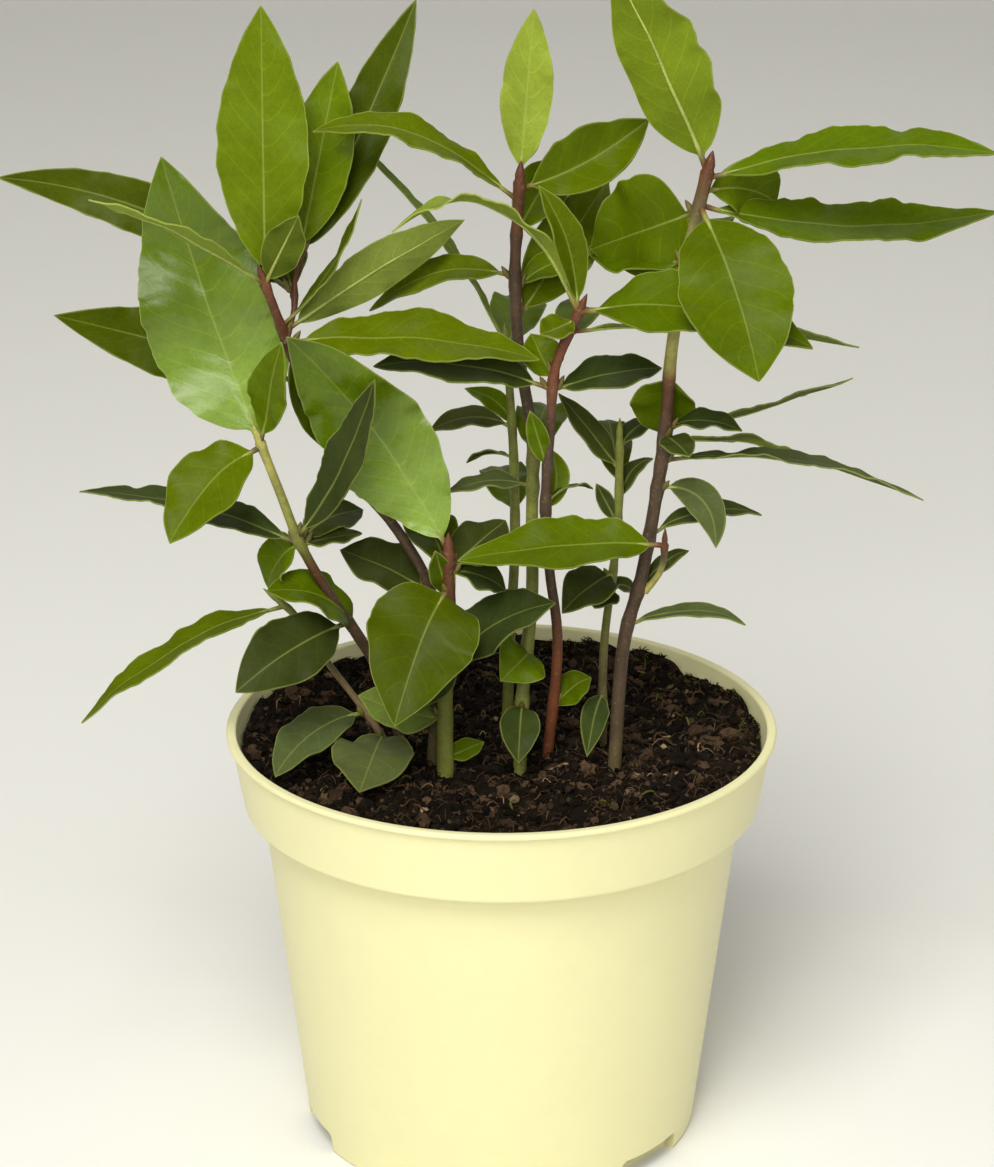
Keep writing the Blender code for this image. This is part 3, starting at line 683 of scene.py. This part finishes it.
def pot_profile():
    inner_lip = RIM_RADIUS - LIP_WIDTH
    under_lip = POT_HEIGHT - LIP_HEIGHT
    return [
        (0, POT_FLOOR),
        *arc((BASE_RADIUS - POT_WALL - 0.8, POT_FLOOR + 0.8), 0.8, -90, 0, 4),
        (SHOULDER_RADIUS - POT_WALL, COLLAR_FOOT + POT_WALL - 0.3),
        (SHOULDER_RADIUS - POT_WALL + 0.3, COLLAR_FOOT + POT_WALL),
        *arc((COLLAR_FOOT_RADIUS - POT_WALL - 0.6, COLLAR_FOOT + POT_WALL + 0.6), 0.6, -90, 0, 4),
        (inner_lip - 0.3, under_lip - 0.5),
        *arc((inner_lip + 0.7, POT_HEIGHT - 0.7), 0.7, 180, 90, 5),
        *arc((RIM_RADIUS - 0.75, POT_HEIGHT - 0.75), 0.75, 90, -50, 8),
        *reversed(arc((COLLAR_TOP_RADIUS + 0.5, under_lip - 0.5), 0.5, 110, 180, 4)),
        *arc((COLLAR_FOOT_RADIUS - 1.3, COLLAR_FOOT + 1.3), 1.3, 0, -90, 7),
        *reversed(arc((SHOULDER_RADIUS + 0.6, COLLAR_FOOT - 0.6), 0.6, 90, 180, 4)),
        *arc((BASE_RADIUS - 0.9, 0.9), 0.9, 0, -90, 5),
        (0, 0),
    ]


def cut_notches(pot):
    """Cuts the drain notches out of the pot's foot."""
    bm = bmesh.new()
    depth = 8 * POT_WALL
    for i in range(NOTCH_COUNT):
        cube = bmesh.ops.create_cube(bm, size=MM)["verts"]
        bmesh.ops.scale(bm, vec=(depth, NOTCH_WIDTH, 2 * NOTCH_HEIGHT), verts=cube)
        bmesh.ops.translate(bm, vec=((BASE_RADIUS + 0.2 * depth) * MM, 0, 0), verts=cube)
        turn = Matrix.Rotation(math.radians(NOTCH_FIRST_ANGLE + i * 360 / NOTCH_COUNT), 3, "Z")
        bmesh.ops.rotate(bm, cent=(0, 0, 0), matrix=turn, verts=cube)
    sides = [edge for edge in bm.edges if abs(edge.verts[0].co.z - edge.verts[1].co.z) < 1e-6]
    tops = [edge for edge in sides if edge.verts[0].co.z > 0]
    bmesh.ops.bevel(
        bm, geom=tops, offset=1.5 * MM, segments=3, profile=0.5, affect="EDGES", material=-1
    )
    cutter = new_piece("notches", bm, [])
    cut = pot.modifiers.new("drain notches", "BOOLEAN")
    cut.operation = "DIFFERENCE"
    cut.object = cutter
    with_modifiers_applied(pot)
    bpy.data.objects.remove(cutter, do_unlink=True)


def dusty(pot):
    """Marks the inner wall just over the compost, for the dust that clings there."""
    dust = pot.data.attributes.new("dust", "FLOAT", "POINT")
    for vertex, slot in zip(pot.data.vertices, dust.data):
        height = vertex.co.z / MM
        inside = math.hypot(vertex.co.x, vertex.co.y) / MM < wall_radius(height) + 0.3
        if inside and height > COLLAR_FOOT:
            slot.value = max(0, min(1, (SOIL_TOP + 2.5 - height) / 2))


class LAUREL_OT_pot(bpy.types.Operator):
    """Turn the nursery pot with its collar, rolled lip and drain notches"""

    bl_idname = "laurel.pot"
    bl_label = "Pot"

    def execute(self, context):
        bm = bmesh.new()
        turned(bm, pot_profile(), sizes().pot_steps)
        pot = new_piece("nursery_pot", bm, [pot_material()])
        cut_notches(pot)
        dusty(pot)
        hand_in(smooth(pot, 35), "pot_plastic", "pot")
        return {"FINISHED"}


def soil_height(x, y):
    """The compost's height in millimetres at a place in millimetres."""
    edge = wall_radius(SOIL_TOP)
    lumps = 0
    for layer, (size, rise) in enumerate(SOIL_LUMPS):
        lumps += rise * noise.noise(Vector((x / size, y / size, 10 * layer)))
    climb = max(0, math.hypot(x, y) / edge - 0.92) * (38 if y > 0 else 10)
    return SOIL_TOP + SOIL_TILT * y / edge + lumps + climb


def tint_layer(bm):
    return bm.verts.layers.float_color.new("tint")


def varied(rng, name, swing=0.3):
    """A named colour made a little darker or lighter."""
    red, green, blue, alpha = colour(name)
    scale = 1 + rng.uniform(-swing, swing)
    return (red * scale, green * scale, blue * scale, alpha)


def picked(rng, kinds):
    return rng.choices(list(kinds), list(kinds.values()))[0]


def swept_tube(bm, points, radii, sides):
    """A closed tube through points in millimetres, with its seam and both ends merged."""
    normals = []
    across = (points[1] - points[0]).orthogonal()
    for i in range(len(points)):
        along = (points[min(i + 1, len(points) - 1)] - points[max(i - 1, 0)]).normalized()
        across = (across - across.dot(along) * along).normalized()
        normals.append((across, along.cross(across)))
    points = [points[0], *points, points[-1]]
    normals = [normals[0], *normals, normals[-1]]
    radii = [0, *radii, 0]
    last = len(points) - 1
    made = bmesh.ops.create_grid(bm, x_segments=last, y_segments=sides, size=0.5)["verts"]
    for vertex in made:
        i = round((vertex.co.x + 0.5) * last)
        angle = math.tau * (vertex.co.y + 0.5)
        first, second = normals[i]
        ring = first * math.cos(angle) + second * math.sin(angle)
        vertex.co = (points[i] + ring * radii[i]) * MM
    bmesh.ops.remove_doubles(bm, verts=made, dist=0.001 * MM)
    return [vertex for vertex in made if vertex.is_valid]


def paint(verts, layer, tint):
    for vertex in verts:
        vertex[layer] = tint


def random_place(rng, reach=0.97):
    """A random place on the compost, in millimetres, spread evenly."""
    radius = reach * wall_radius(SOIL_TOP) * math.sqrt(rng.random())
    angle = rng.uniform(0, math.tau)
    return radius * math.cos(angle), radius * math.sin(angle)


def compost_profile():
    edge = wall_radius(SOIL_TOP) - SOIL_GAP
    rings = 84
    top = [(edge * i / rings, SOIL_TOP) for i in range(rings + 1)]
    return [
        *top,
        (COLLAR_FOOT_RADIUS - POT_WALL - SOIL_GAP, COLLAR_FOOT + POT_WALL + 0.6 + SOIL_GAP),
        (SHOULDER_RADIUS - POT_WALL - SOIL_GAP, COLLAR_FOOT + POT_WALL + SOIL_GAP),
        (BASE_RADIUS - POT_WALL - SOIL_GAP, POT_FLOOR + 1.1),
        (0, POT_FLOOR + SOIL_GAP),
    ]


class LAUREL_OT_compost(bpy.types.Operator):
    """Fill the pot with lumpy compost"""

    bl_idname = "laurel.compost"
    bl_label = "Compost"

    def execute(self, context):
        bm = bmesh.new()
        turned(bm, compost_profile(), 300)
        for vertex in bm.verts:
            x, y, z = vertex.co / MM
            if z > SOIL_TOP - 0.1:
                vertex.co.z = soil_height(x, y) * MM
        compost = new_piece("compost_bed", bm, [compost_material("moist compost", False)])
        hand_in(smooth(compost, 80), "compost", "soil")
        return {"FINISHED"}


def scattered(count, seed, add):
    """One bmesh of many small shapes, made in batches because each operator scans its bmesh."""
    rng = random.Random(seed)
    whole = bmesh.new()
    for start in range(0, count, BATCH):
        batch = bmesh.new()
        layer = tint_layer(batch)
        for _ in range(min(BATCH, count - start)):
            add(rng, batch, layer)
        bmesh.ops.recalc_face_normals(batch, faces=batch.faces)
        mesh = bpy.data.meshes.new("batch")
        batch.to_mesh(mesh)
        batch.free()
        whole.from_mesh(mesh)
        bpy.data.meshes.remove(mesh)
    return whole


def add_crumb(rng, bm, layer):
    """A small rough lump that lies half sunk in the compost."""
    x, y = random_place(rng)
    size = picked(rng, CRUMB_SIZES)
    smoothness = 2 if size > 1 else 1
    made = bmesh.ops.create_icosphere(bm, subdivisions=smoothness, radius=size * MM)["verts"]
    for vertex in made:
        vertex.co *= rng.uniform(0.6, 1.35)
    bmesh.ops.scale(bm, vec=(rng.uniform(0.8, 1.7), 1, rng.uniform(0.7, 1.1)), verts=made)
    turn = Matrix.Rotation(rng.uniform(0, math.tau), 3, "Z")
    tip = Matrix.Rotation(rng.uniform(-0.7, 0.7), 3, "X")
    bmesh.ops.rotate(bm, cent=(0, 0, 0), matrix=turn @ tip, verts=made)
    place = Vector((x, y, soil_height(x, y) + 0.2 * size)) * MM
    bmesh.ops.translate(bm, vec=place, verts=made)
    paint(made, layer, varied(rng, picked(rng, CRUMB_KINDS), 0.5))


def add_fibre(rng, bm, layer):
    """A thin bent thread or splinter that lies on the compost."""
    x, y = random_place(rng, 0.95)
    length = rng.uniform(1.5, 6)
    heading = rng.uniform(0, math.tau)
    curl = rng.uniform(-2.2, 2.2)
    lift = rng.uniform(0.1, 1.8)
    points = []
    for i in range(6):
        share = i / 5
        angle = heading + curl * share
        x += length / 5 * math.cos(angle)
        y += length / 5 * math.sin(angle)
        if math.hypot(x, y) > 0.98 * wall_radius(SOIL_TOP):
            break
        points.append(Vector((x, y, soil_height(x, y) + lift * math.sin(math.pi * share) + 0.1)))
    if len(points) < 4:
        return
    thick = rng.choice((0.08, 0.1, 0.14, 0.24))
    made = swept_tube(bm, points, [thick] * (len(points) - 1) + [0.4 * thick], 4)
    paint(made, layer, varied(rng, picked(rng, FIBRE_KINDS), 0.4))


def add_tuft(rng, bm, layer):
    """A short dark thread that climbs the pot's wall, most of them along the back."""
    angle = rng.gauss(math.radians(70), math.radians(60))
    radius = wall_radius(SOIL_TOP) - abs(rng.gauss(0, 1.8)) - 0.5
    x = radius * math.cos(angle)
    y = radius * math.sin(angle)
    foot = Vector((x, y, soil_height(x, y) - 0.6))
    rise = rng.uniform(0.2, 1.7) * (1 if y > 0 else 0.5)
    tip = foot + Vector((rng.uniform(-1.6, 1.6), rng.uniform(-1.6, 1.6), rise))
    sway = tip.xy.length / wall_radius(tip.z)
    if sway > 0.985:
        tip.xy *= 0.985 / sway
    middle = foot.lerp(tip, 0.5) + Vector((rng.uniform(-0.7, 0.7), rng.uniform(-0.7, 0.7), 0.3))
    made = swept_tube(bm, [foot, middle, tip], [0.24, 0.18, 0.08], 3)
    paint(made, layer, varied(rng, picked(rng, TUFT_KINDS), 0.4))


class LAUREL_OT_litter(bpy.types.Operator):
    """Scatter crumbs, fibres and tufts of moss over the compost"""

    bl_idname = "laurel.litter"
    bl_label = "Litter"

    def execute(self, context):
        material = compost_material("compost bits", True)
        made = (
            ("compost_crumbs", sizes().crumb_count, add_crumb),
            ("compost_fibres", sizes().fibre_count, add_fibre),
            ("wall_tufts", sizes().moss_count, add_tuft),
        )
        for seed, (name, count, add) in enumerate(made, SEED):
            bm = scattered(count, seed, add)
            hand_in(smooth(new_piece(name, bm, [material]), 30), "compost")
        return {"FINISHED"}


# Leaves


def smooth_route(route, step):
    """Points about one step apart on a smooth curve through the route's own points."""
    points = [Vector(point) for point in route]
    ends = [2 * points[0] - points[1], *points, 2 * points[-1] - points[-2]]
    curve = []
    for before, start, end, after in zip(ends, ends[1:], ends[2:], ends[3:]):
        count = max(1, round((end - start).length / step))
        for i in range(count):
            t = i / count
            curve.append(
                start
                + 0.5 * t * (end - before)
                + t * t * (before - 2.5 * start + 2 * end - 0.5 * after)
                + t * t * t * (1.5 * (start - end) + 0.5 * (after - before))
            )
    return [*curve, points[-1]]


def point_at(curve, share):
    """The point at this share of a list of points' length."""
    lengths = [(b - a).length for a, b in zip(curve, curve[1:])]
    left = share * sum(lengths)
    for start, end, length in zip(curve, curve[1:], lengths):
        if left <= length:
            return start.lerp(end, left / length)
        left -= length
    return curve[-1].copy()


def stalk_share(leaf):
    return min(PETIOLE_SHARE, PETIOLE_LENGTH / Vector(leaf.reach).length)


def half_width(t, leaf):
    """Half the blade's width: a pointed ellipse, pinched into a short tip."""
    stalk = stalk_share(leaf)
    blade = min(0.999, max(0.001, (t - stalk) / (1 - stalk)))
    outline = 0.5 * leaf.width * math.sin(math.pi * blade**leaf.belly) ** OUTLINE_FULLNESS
    pinch = 1 - TIP_PINCH * math.exp((blade - 1) / TIP_PINCH_SPAN)
    return max(outline * pinch, 0.3 * (1 - t) + 0.04)


def leaf_frame(leaf, root, t):
    """(centre, up, across) of the leaf's middle line at this share of its length."""
    reach = Vector(leaf.reach)
    bend = Vector(leaf.bend)
    centre = root + reach * t + bend * (4 * t * (1 - t))
    along = (reach + bend * (4 - 8 * t)).normalized()
    face = Vector(leaf.face)
    up = (face - face.dot(along) * along).normalized()
    up = Matrix.Rotation(math.radians(leaf.twist * (t - 0.5)), 3, along) @ up
    return centre, up, along.cross(up)


def vein_phase(leaf, t, side):
    """Whole numbers and a half fall on the side veins, which sweep forward to the margin."""
    count = max(4, round(Vector(leaf.reach).length / VEIN_SPACING))
    offset = 0.25 * max(-1, min(1, 5 * side))
    return count * (t - 0.12 * abs(side) - 0.07 * side * side) + offset


def blade_point(leaf, root, t, side, phase):
    """A point of the blade, with t from root to tip and side from margin to margin."""
    centre, up, across = leaf_frame(leaf, root, t)
    length = Vector(leaf.reach).length
    half = half_width(t, leaf)
    fade = min(1, 6 * t * (1 - t))
    lift = abs(side) ** 3 * fade
    margin = Vector((t * length / RIPPLE_LENGTH, 3 * (side > 0), phase))
    ripple = noise.noise(margin) + 0.4 * noise.noise(2.3 * margin)
    place = Vector((t * length / SWELL_LENGTH, side * half / SWELL_LENGTH, phase + 7))
    swell = SWELL_HEIGHT * noise.noise(place) * fade
    height = 2 * sizes().ripple_height / MM * min(1, leaf.width / 12)
    wave = math.sin(math.tau * WAVE_COUNT * t + phase + side) * WAVE_HEIGHT * leaf.width
    out = side * half * (1 + 0.06 * lift * ripple)
    puckers = GLOSSY_PUCKERS if leaf.tone == "glossy" else 1
    quilt = 0.5 - 0.5 * math.cos(math.tau * (vein_phase(leaf, t, side) + 0.5))
    pillow = quilt * puckers * sizes().puckering / MM * math.sin(math.pi * min(1, abs(side))) * fade
    fold = leaf.fold * (math.hypot(out, FOLD_SOFTNESS) - FOLD_SOFTNESS)
    rise = fold + abs(side) * wave * fade + height * ripple * lift + pillow + swell
    return centre + across * out + up * rise


def painted_sheen_tint(tint, t, side):
    """A glossy leaf's colour with painted sheen: it pales towards its root, where its highlight
    falls.
    """
    pale = PAINTED_SHEEN_SHARE * min(1, max(0, (PAINTED_SHEEN_END - t + 0.08 * side) / 0.4))
    return Vector(tint).lerp((*colour("painted_sheen")[:3], tint[3]), pale)


def add_blade(bm, layers, leaf, root, phase, tint):
    """A leaf's blade as one open sheet, with what its material reads at each point."""
    length = Vector(leaf.reach).length
    segments = max(14, min(76, round(length / LENGTH_PER_SEGMENT)))
    rows = 12 if leaf.width > 9 else 8
    made = bmesh.ops.create_grid(bm, x_segments=segments, y_segments=rows, size=0.5)["verts"]
    start = 0.6 * stalk_share(leaf)
    for vertex in made:
        t = start + (1 - start) * min(1, max(0, vertex.co.x + 0.5))
        side = -2 * vertex.co.y
        half = half_width(t, leaf)
        vertex.co = blade_point(leaf, root, t, side, phase) * MM
        vertex[layers["rib"]] = abs(side) * half + 0.25 * t
        vertex[layers["edge"]] = (1 - abs(side)) * half
        vertex[layers["vein"]] = vein_phase(leaf, t, side)
        # Glossy leaves take the painted sheen towards their root
        vertex[layers["tint"]] = painted_sheen_tint(tint, t, side) if leaf.tone == "glossy" else tint
    if leaf.tone == "glossy":
        for face in {face for vertex in made for face in vertex.link_faces}:
            face.material_index = 1


def leaf_materials():
    """The satin and the glossy upper side, then the underside of each."""
    finishes = (
        ("satin leaf", False, 0.06),
        ("glossy leaf", False, 0.32),
        ("satin underside", True, 0.06),
        ("glossy underside", True, 0.2),
    )
    return [bpy.data.materials.get(finish[0]) or leaf_material(*finish) for finish in finishes]


def leaf_tint(leaf, rng):
    """The leaf's own colour, with its roughness as the fourth value."""
    red, green, blue, _ = colour(leaf.tone)
    light = 1 + rng.uniform(-0.1, 0.1)
    warm = 1 + rng.uniform(-0.08, 0.08)
    rough = ROUGHNESS.get(leaf.tone, PLAIN_ROUGHNESS)
    return (red * light * warm, green * light, blue * light / warm, rough)


def leaves_of(branch, number, routes):
    """One piece with all the blades of a branch."""
    rng = random.Random(SEED + 10 + number)
    bm = bmesh.new()
    layers = {name: bm.verts.layers.float.new(name) for name in ("rib", "edge", "vein")}
    layers["tint"] = tint_layer(bm)
    for i, leaf in enumerate(branch.leaves):
        root = point_at(routes[leaf.shoot], leaf.at)
        add_blade(bm, layers, leaf, root, 1.7 * i + number, leaf_tint(leaf, rng))
    piece = new_piece(branch.name + "_leaves", bm, leaf_materials())
    thicken = piece.modifiers.new("thickness", "SOLIDIFY")
    thicken.thickness = sizes().blade_thickness
    thicken.offset = 0
    thicken.material_offset = 2
    thicken.material_offset_rim = 0
    return smooth(with_modifiers_applied(piece), 60)


def bark_tint(branch, share):
    """The bark's colour at this share of the stem's height."""
    stops = branch.bark
    for (low, first), (high, second) in zip(stops, stops[1:]):
        if share <= high:
            return Vector(colour(first)).lerp(Vector(colour(second)), (share - low) / (high - low))
    return Vector(colour(stops[-1][1]))


def add_stem(bm, layer, branch, route, joints, ends, foot=0.0):
    """A tapered stem with a swelling at each leaf and a pointed bud at its top."""
    low_radius, top_radius = ends
    last = len(route) - 1
    radii = []
    for i, point in enumerate(route):
        near = min((point - joint).length for joint in joints)
        swelling = NODE_SWELLING * math.exp(-((near / NODE_REACH) ** 2))
        radii.append(low_radius + i / last * (top_radius - low_radius) + swelling)
    up = (route[-1] - route[-2]).normalized()
    points = [*route, *(route[-1] + up * rise for rise, _ in BUD)]
    radii += [top_radius * share for _, share in BUD]
    made = swept_tube(bm, points, radii, 14)
    heights = [point.z for point in route]
    for vertex in made:
        share = (vertex.co.z / MM - heights[0]) / (heights[-1] - heights[0])
        vertex[layer] = bark_tint(branch, foot + (1 - foot) * max(0, min(1, share)))


def add_stalk(bm, layer, branch, leaf, root, phase):
    """The leaf's stalk, which runs on as the rib along the blade's underside."""
    count = max(10, round(Vector(leaf.reach).length / 2))
    thick = min(1, 0.55 + leaf.width / 40)
    points = []
    radii = []
    for i in range(count + 1):
        t = 0.98 * i / count
        _, up, _ = leaf_frame(leaf, root, t)
        rib = thick * (0.46 * (1 - t) ** 0.8 + 0.06)
        stalk = thick * 0.72
        blend = min(1, max(0, (t / stalk_share(leaf) - 0.6) / 1.2))
        radii.append(stalk + (rib - stalk) * blend)
        points.append(blade_point(leaf, root, t, 0, phase) - up * 0.55 * radii[-1] * blend)
    made = swept_tube(bm, points, radii, 8)
    red = Vector(colour(branch.petiole))
    pale = Vector(colour("rib")).lerp(Vector(colour(leaf.tone)), 0.25)
    length = Vector(leaf.reach).length
    for vertex in made:
        t = (vertex.co / MM - root).length / length
        vertex[layer] = red.lerp(pale, min(1, max(0, t / stalk_share(leaf) - 0.5)))


def add_axil_bud(bm, layer, branch, leaf, root):
    """A small bud that sits over a leaf's stalk."""
    reach = Vector(leaf.reach).normalized()
    direction = (reach * 0.6 + WORLD_UP).normalized()
    foot = root + reach * 1.2
    points = [foot + direction * rise for rise in (0, 0.8, 1.8, 2.8, 3.4)]
    made = swept_tube(bm, points, [0.5, 0.75, 0.7, 0.4, 0.1], 8)
    paint(made, layer, Vector(colour(branch.petiole)).lerp(Vector(colour("green_bark")), 0.5))


def stems_of(branch, number, routes):
    """One piece with a branch's stem, side shoots, leaf stalks, ribs and buds."""
    bm = bmesh.new()
    layer = tint_layer(bm)
    joints = [point_at(routes[leaf.shoot], leaf.at) for leaf in branch.leaves]
    add_stem(bm, layer, branch, routes[0], joints, branch.radii)
    for shoot in routes[1:]:
        thin = SHOOT_RADIUS * branch.radii[1]
        add_stem(bm, layer, branch, shoot, joints, (thin, 0.9 * thin), foot=SHOOT_BARK)
    for i, (leaf, root) in enumerate(zip(branch.leaves, joints)):
        add_stalk(bm, layer, branch, leaf, root, 1.7 * i + number)
        if leaf.at < 0.95 and leaf.width > 7:
            add_axil_bud(bm, layer, branch, leaf, root)
    bmesh.ops.recalc_face_normals(bm, faces=bm.faces)
    bark = bpy.data.materials.get("bay bark") or bark_material()
    return smooth(new_piece(branch.name + "_stems", bm, [bark]), 50)


class LAUREL_OT_branches(bpy.types.Operator):
    """Grow the leafy branches"""

    bl_idname = "laurel.branches"
    bl_label = "Branches"

    def execute(self, context):
        for number, branch in enumerate(BRANCHES):
            routes = [smooth_route(branch.route, STEM_STEP)]
            routes += [smooth_route(shoot, STEM_STEP) for shoot in branch.shoots]
            hand_in(leaves_of(branch, number, routes), "bay_leaf", branch.name)
            hand_in(stems_of(branch, number, routes), "bay_leaf", branch.name)
        return {"FINISHED"}


# Stage


# Name, place, the height it aims at over the origin, width, height and power of each light
LIGHTS = (
    ("key light", (-0.25, -0.85, 1.3), 0.15, 0.7, 0.7, 19, (1, 0.99, 0.95)),
    ("front light", (-0.3, -1.5, 0.85), 0.14, 0.5, 0.5, 8, (1, 1, 0.96)),
    ("fill light", (1.2, -1.1, 0.7), 0.12, 1.2, 1.2, 4.5, WHITE),
    ("side light", (-1.3, -1.0, 0.6), 0.12, 1.2, 1.2, 1.5, WHITE),
    ("back light", (0.3, 0.9, 1.4), 0.15, 1.0, 0.6, 3, (1, 0.99, 0.95)),
)


def add_light(name, place, aim, width, height, power, tone):
    light = bpy.data.lights.new(name, "AREA")
    light.shape = "RECTANGLE"
    light.size = width
    light.size_y = height
    light.energy = power
    light.color = tone
    lamp = in_scene(bpy.data.objects.new(name, light))
    lamp.location = place
    lamp.rotation_euler = (Vector((0, 0, aim)) - Vector(place)).to_track_quat("-Z", "Y").to_euler()


# Degrees, metres and millimetres
CAMERA_RISE = 22.765
CAMERA_TILT = 20.428
CAMERA_TURN = 0.082
CAMERA_DISTANCE = 0.8
CAMERA_LENS = 104.2


def add_camera():
    """The camera at some distance from the rim's centre, looking down on it."""
    rise = math.radians(CAMERA_RISE)
    distance = CAMERA_DISTANCE
    data = bpy.data.cameras.new("camera")
    data.sensor_fit = "VERTICAL"
    data.sensor_height = 36
    data.lens = CAMERA_LENS
    camera = in_scene(bpy.data.objects.new("camera", data))
    camera.location = (0, -distance * math.cos(rise), POT_HIGH.z + distance * math.sin(rise))
    camera.rotation_euler = (math.radians(90 - CAMERA_TILT), 0, math.radians(CAMERA_TURN))
    bpy.context.scene.camera = camera


class LAUREL_OT_stage(bpy.types.Operator):
    """Set the floor with its curved backdrop, the soft lights and the camera"""

    bl_idname = "laurel.stage"
    bl_label = "Stage"

    def execute(self, context):
        bm = bmesh.new()
        bend = 0.6
        profile = [(-3, 0), *arc((1.4, bend), bend, -90, 0, 12), (1.4 + bend, 4)]
        points = [bm.verts.new((-4, y, z)) for y, z in profile]
        line = [bm.edges.new(pair) for pair in zip(points, points[1:])]
        pulled = bmesh.ops.extrude_edge_only(bm, edges=line)["geom"]
        moved = [item for item in pulled if isinstance(item, bmesh.types.BMVert)]
        bmesh.ops.translate(bm, vec=(8, 0, 0), verts=moved)
        bmesh.ops.recalc_face_normals(bm, faces=bm.faces)
        floor = new_piece("studio_floor", bm, [floor_material()])
        floor.data.shade_smooth()
        for light in LIGHTS:
            add_light(*light)
        world = bpy.data.worlds.new("studio")
        world.use_nodes = True
        background = world.node_tree.nodes["Background"].inputs
        background["Color"].default_value = (*WHITE, 1)
        background["Strength"].default_value = 0.25
        context.scene.world = world
        context.scene.view_settings.view_transform = "Standard"
        add_camera()
        return {"FINISHED"}


class LAUREL_PT_panel(bpy.types.Panel):
    """Lists the plant's pieces, sizes and colours"""

    bl_idname = "LAUREL_PT_panel"
    bl_label = "Bay laurel"
    bl_space_type = "VIEW_3D"
    bl_region_type = "UI"
    bl_category = "Laurel"

    def draw(self, context):
        for operator in OPERATORS:
            self.layout.operator(operator.bl_idname)
        for group in (context.scene.laurel_sizes, context.scene.laurel_colours):
            for name in group.__annotations__:
                self.layout.prop(group, name)


OPERATORS = (
    LAUREL_OT_pot,
    LAUREL_OT_compost,
    LAUREL_OT_litter,
    LAUREL_OT_branches,
    LAUREL_OT_stage,
)
CLASSES = (LaurelSizes, LaurelColours, *OPERATORS, LAUREL_PT_panel)


def register():
    for item in CLASSES:
        bpy.utils.register_class(item)
    bpy.types.Scene.laurel_sizes = PointerProperty(type=LaurelSizes)
    bpy.types.Scene.laurel_colours = PointerProperty(type=LaurelColours)


def unregister():
    del bpy.types.Scene.laurel_colours
    del bpy.types.Scene.laurel_sizes
    for item in reversed(CLASSES):
        bpy.utils.unregister_class(item)


def main():
    register()
    bpy.ops.laurel.pot()
    bpy.ops.laurel.compost()
    bpy.ops.laurel.litter()
    bpy.ops.laurel.branches()
    bpy.ops.laurel.stage()


if __name__ == "__main__":
    main()
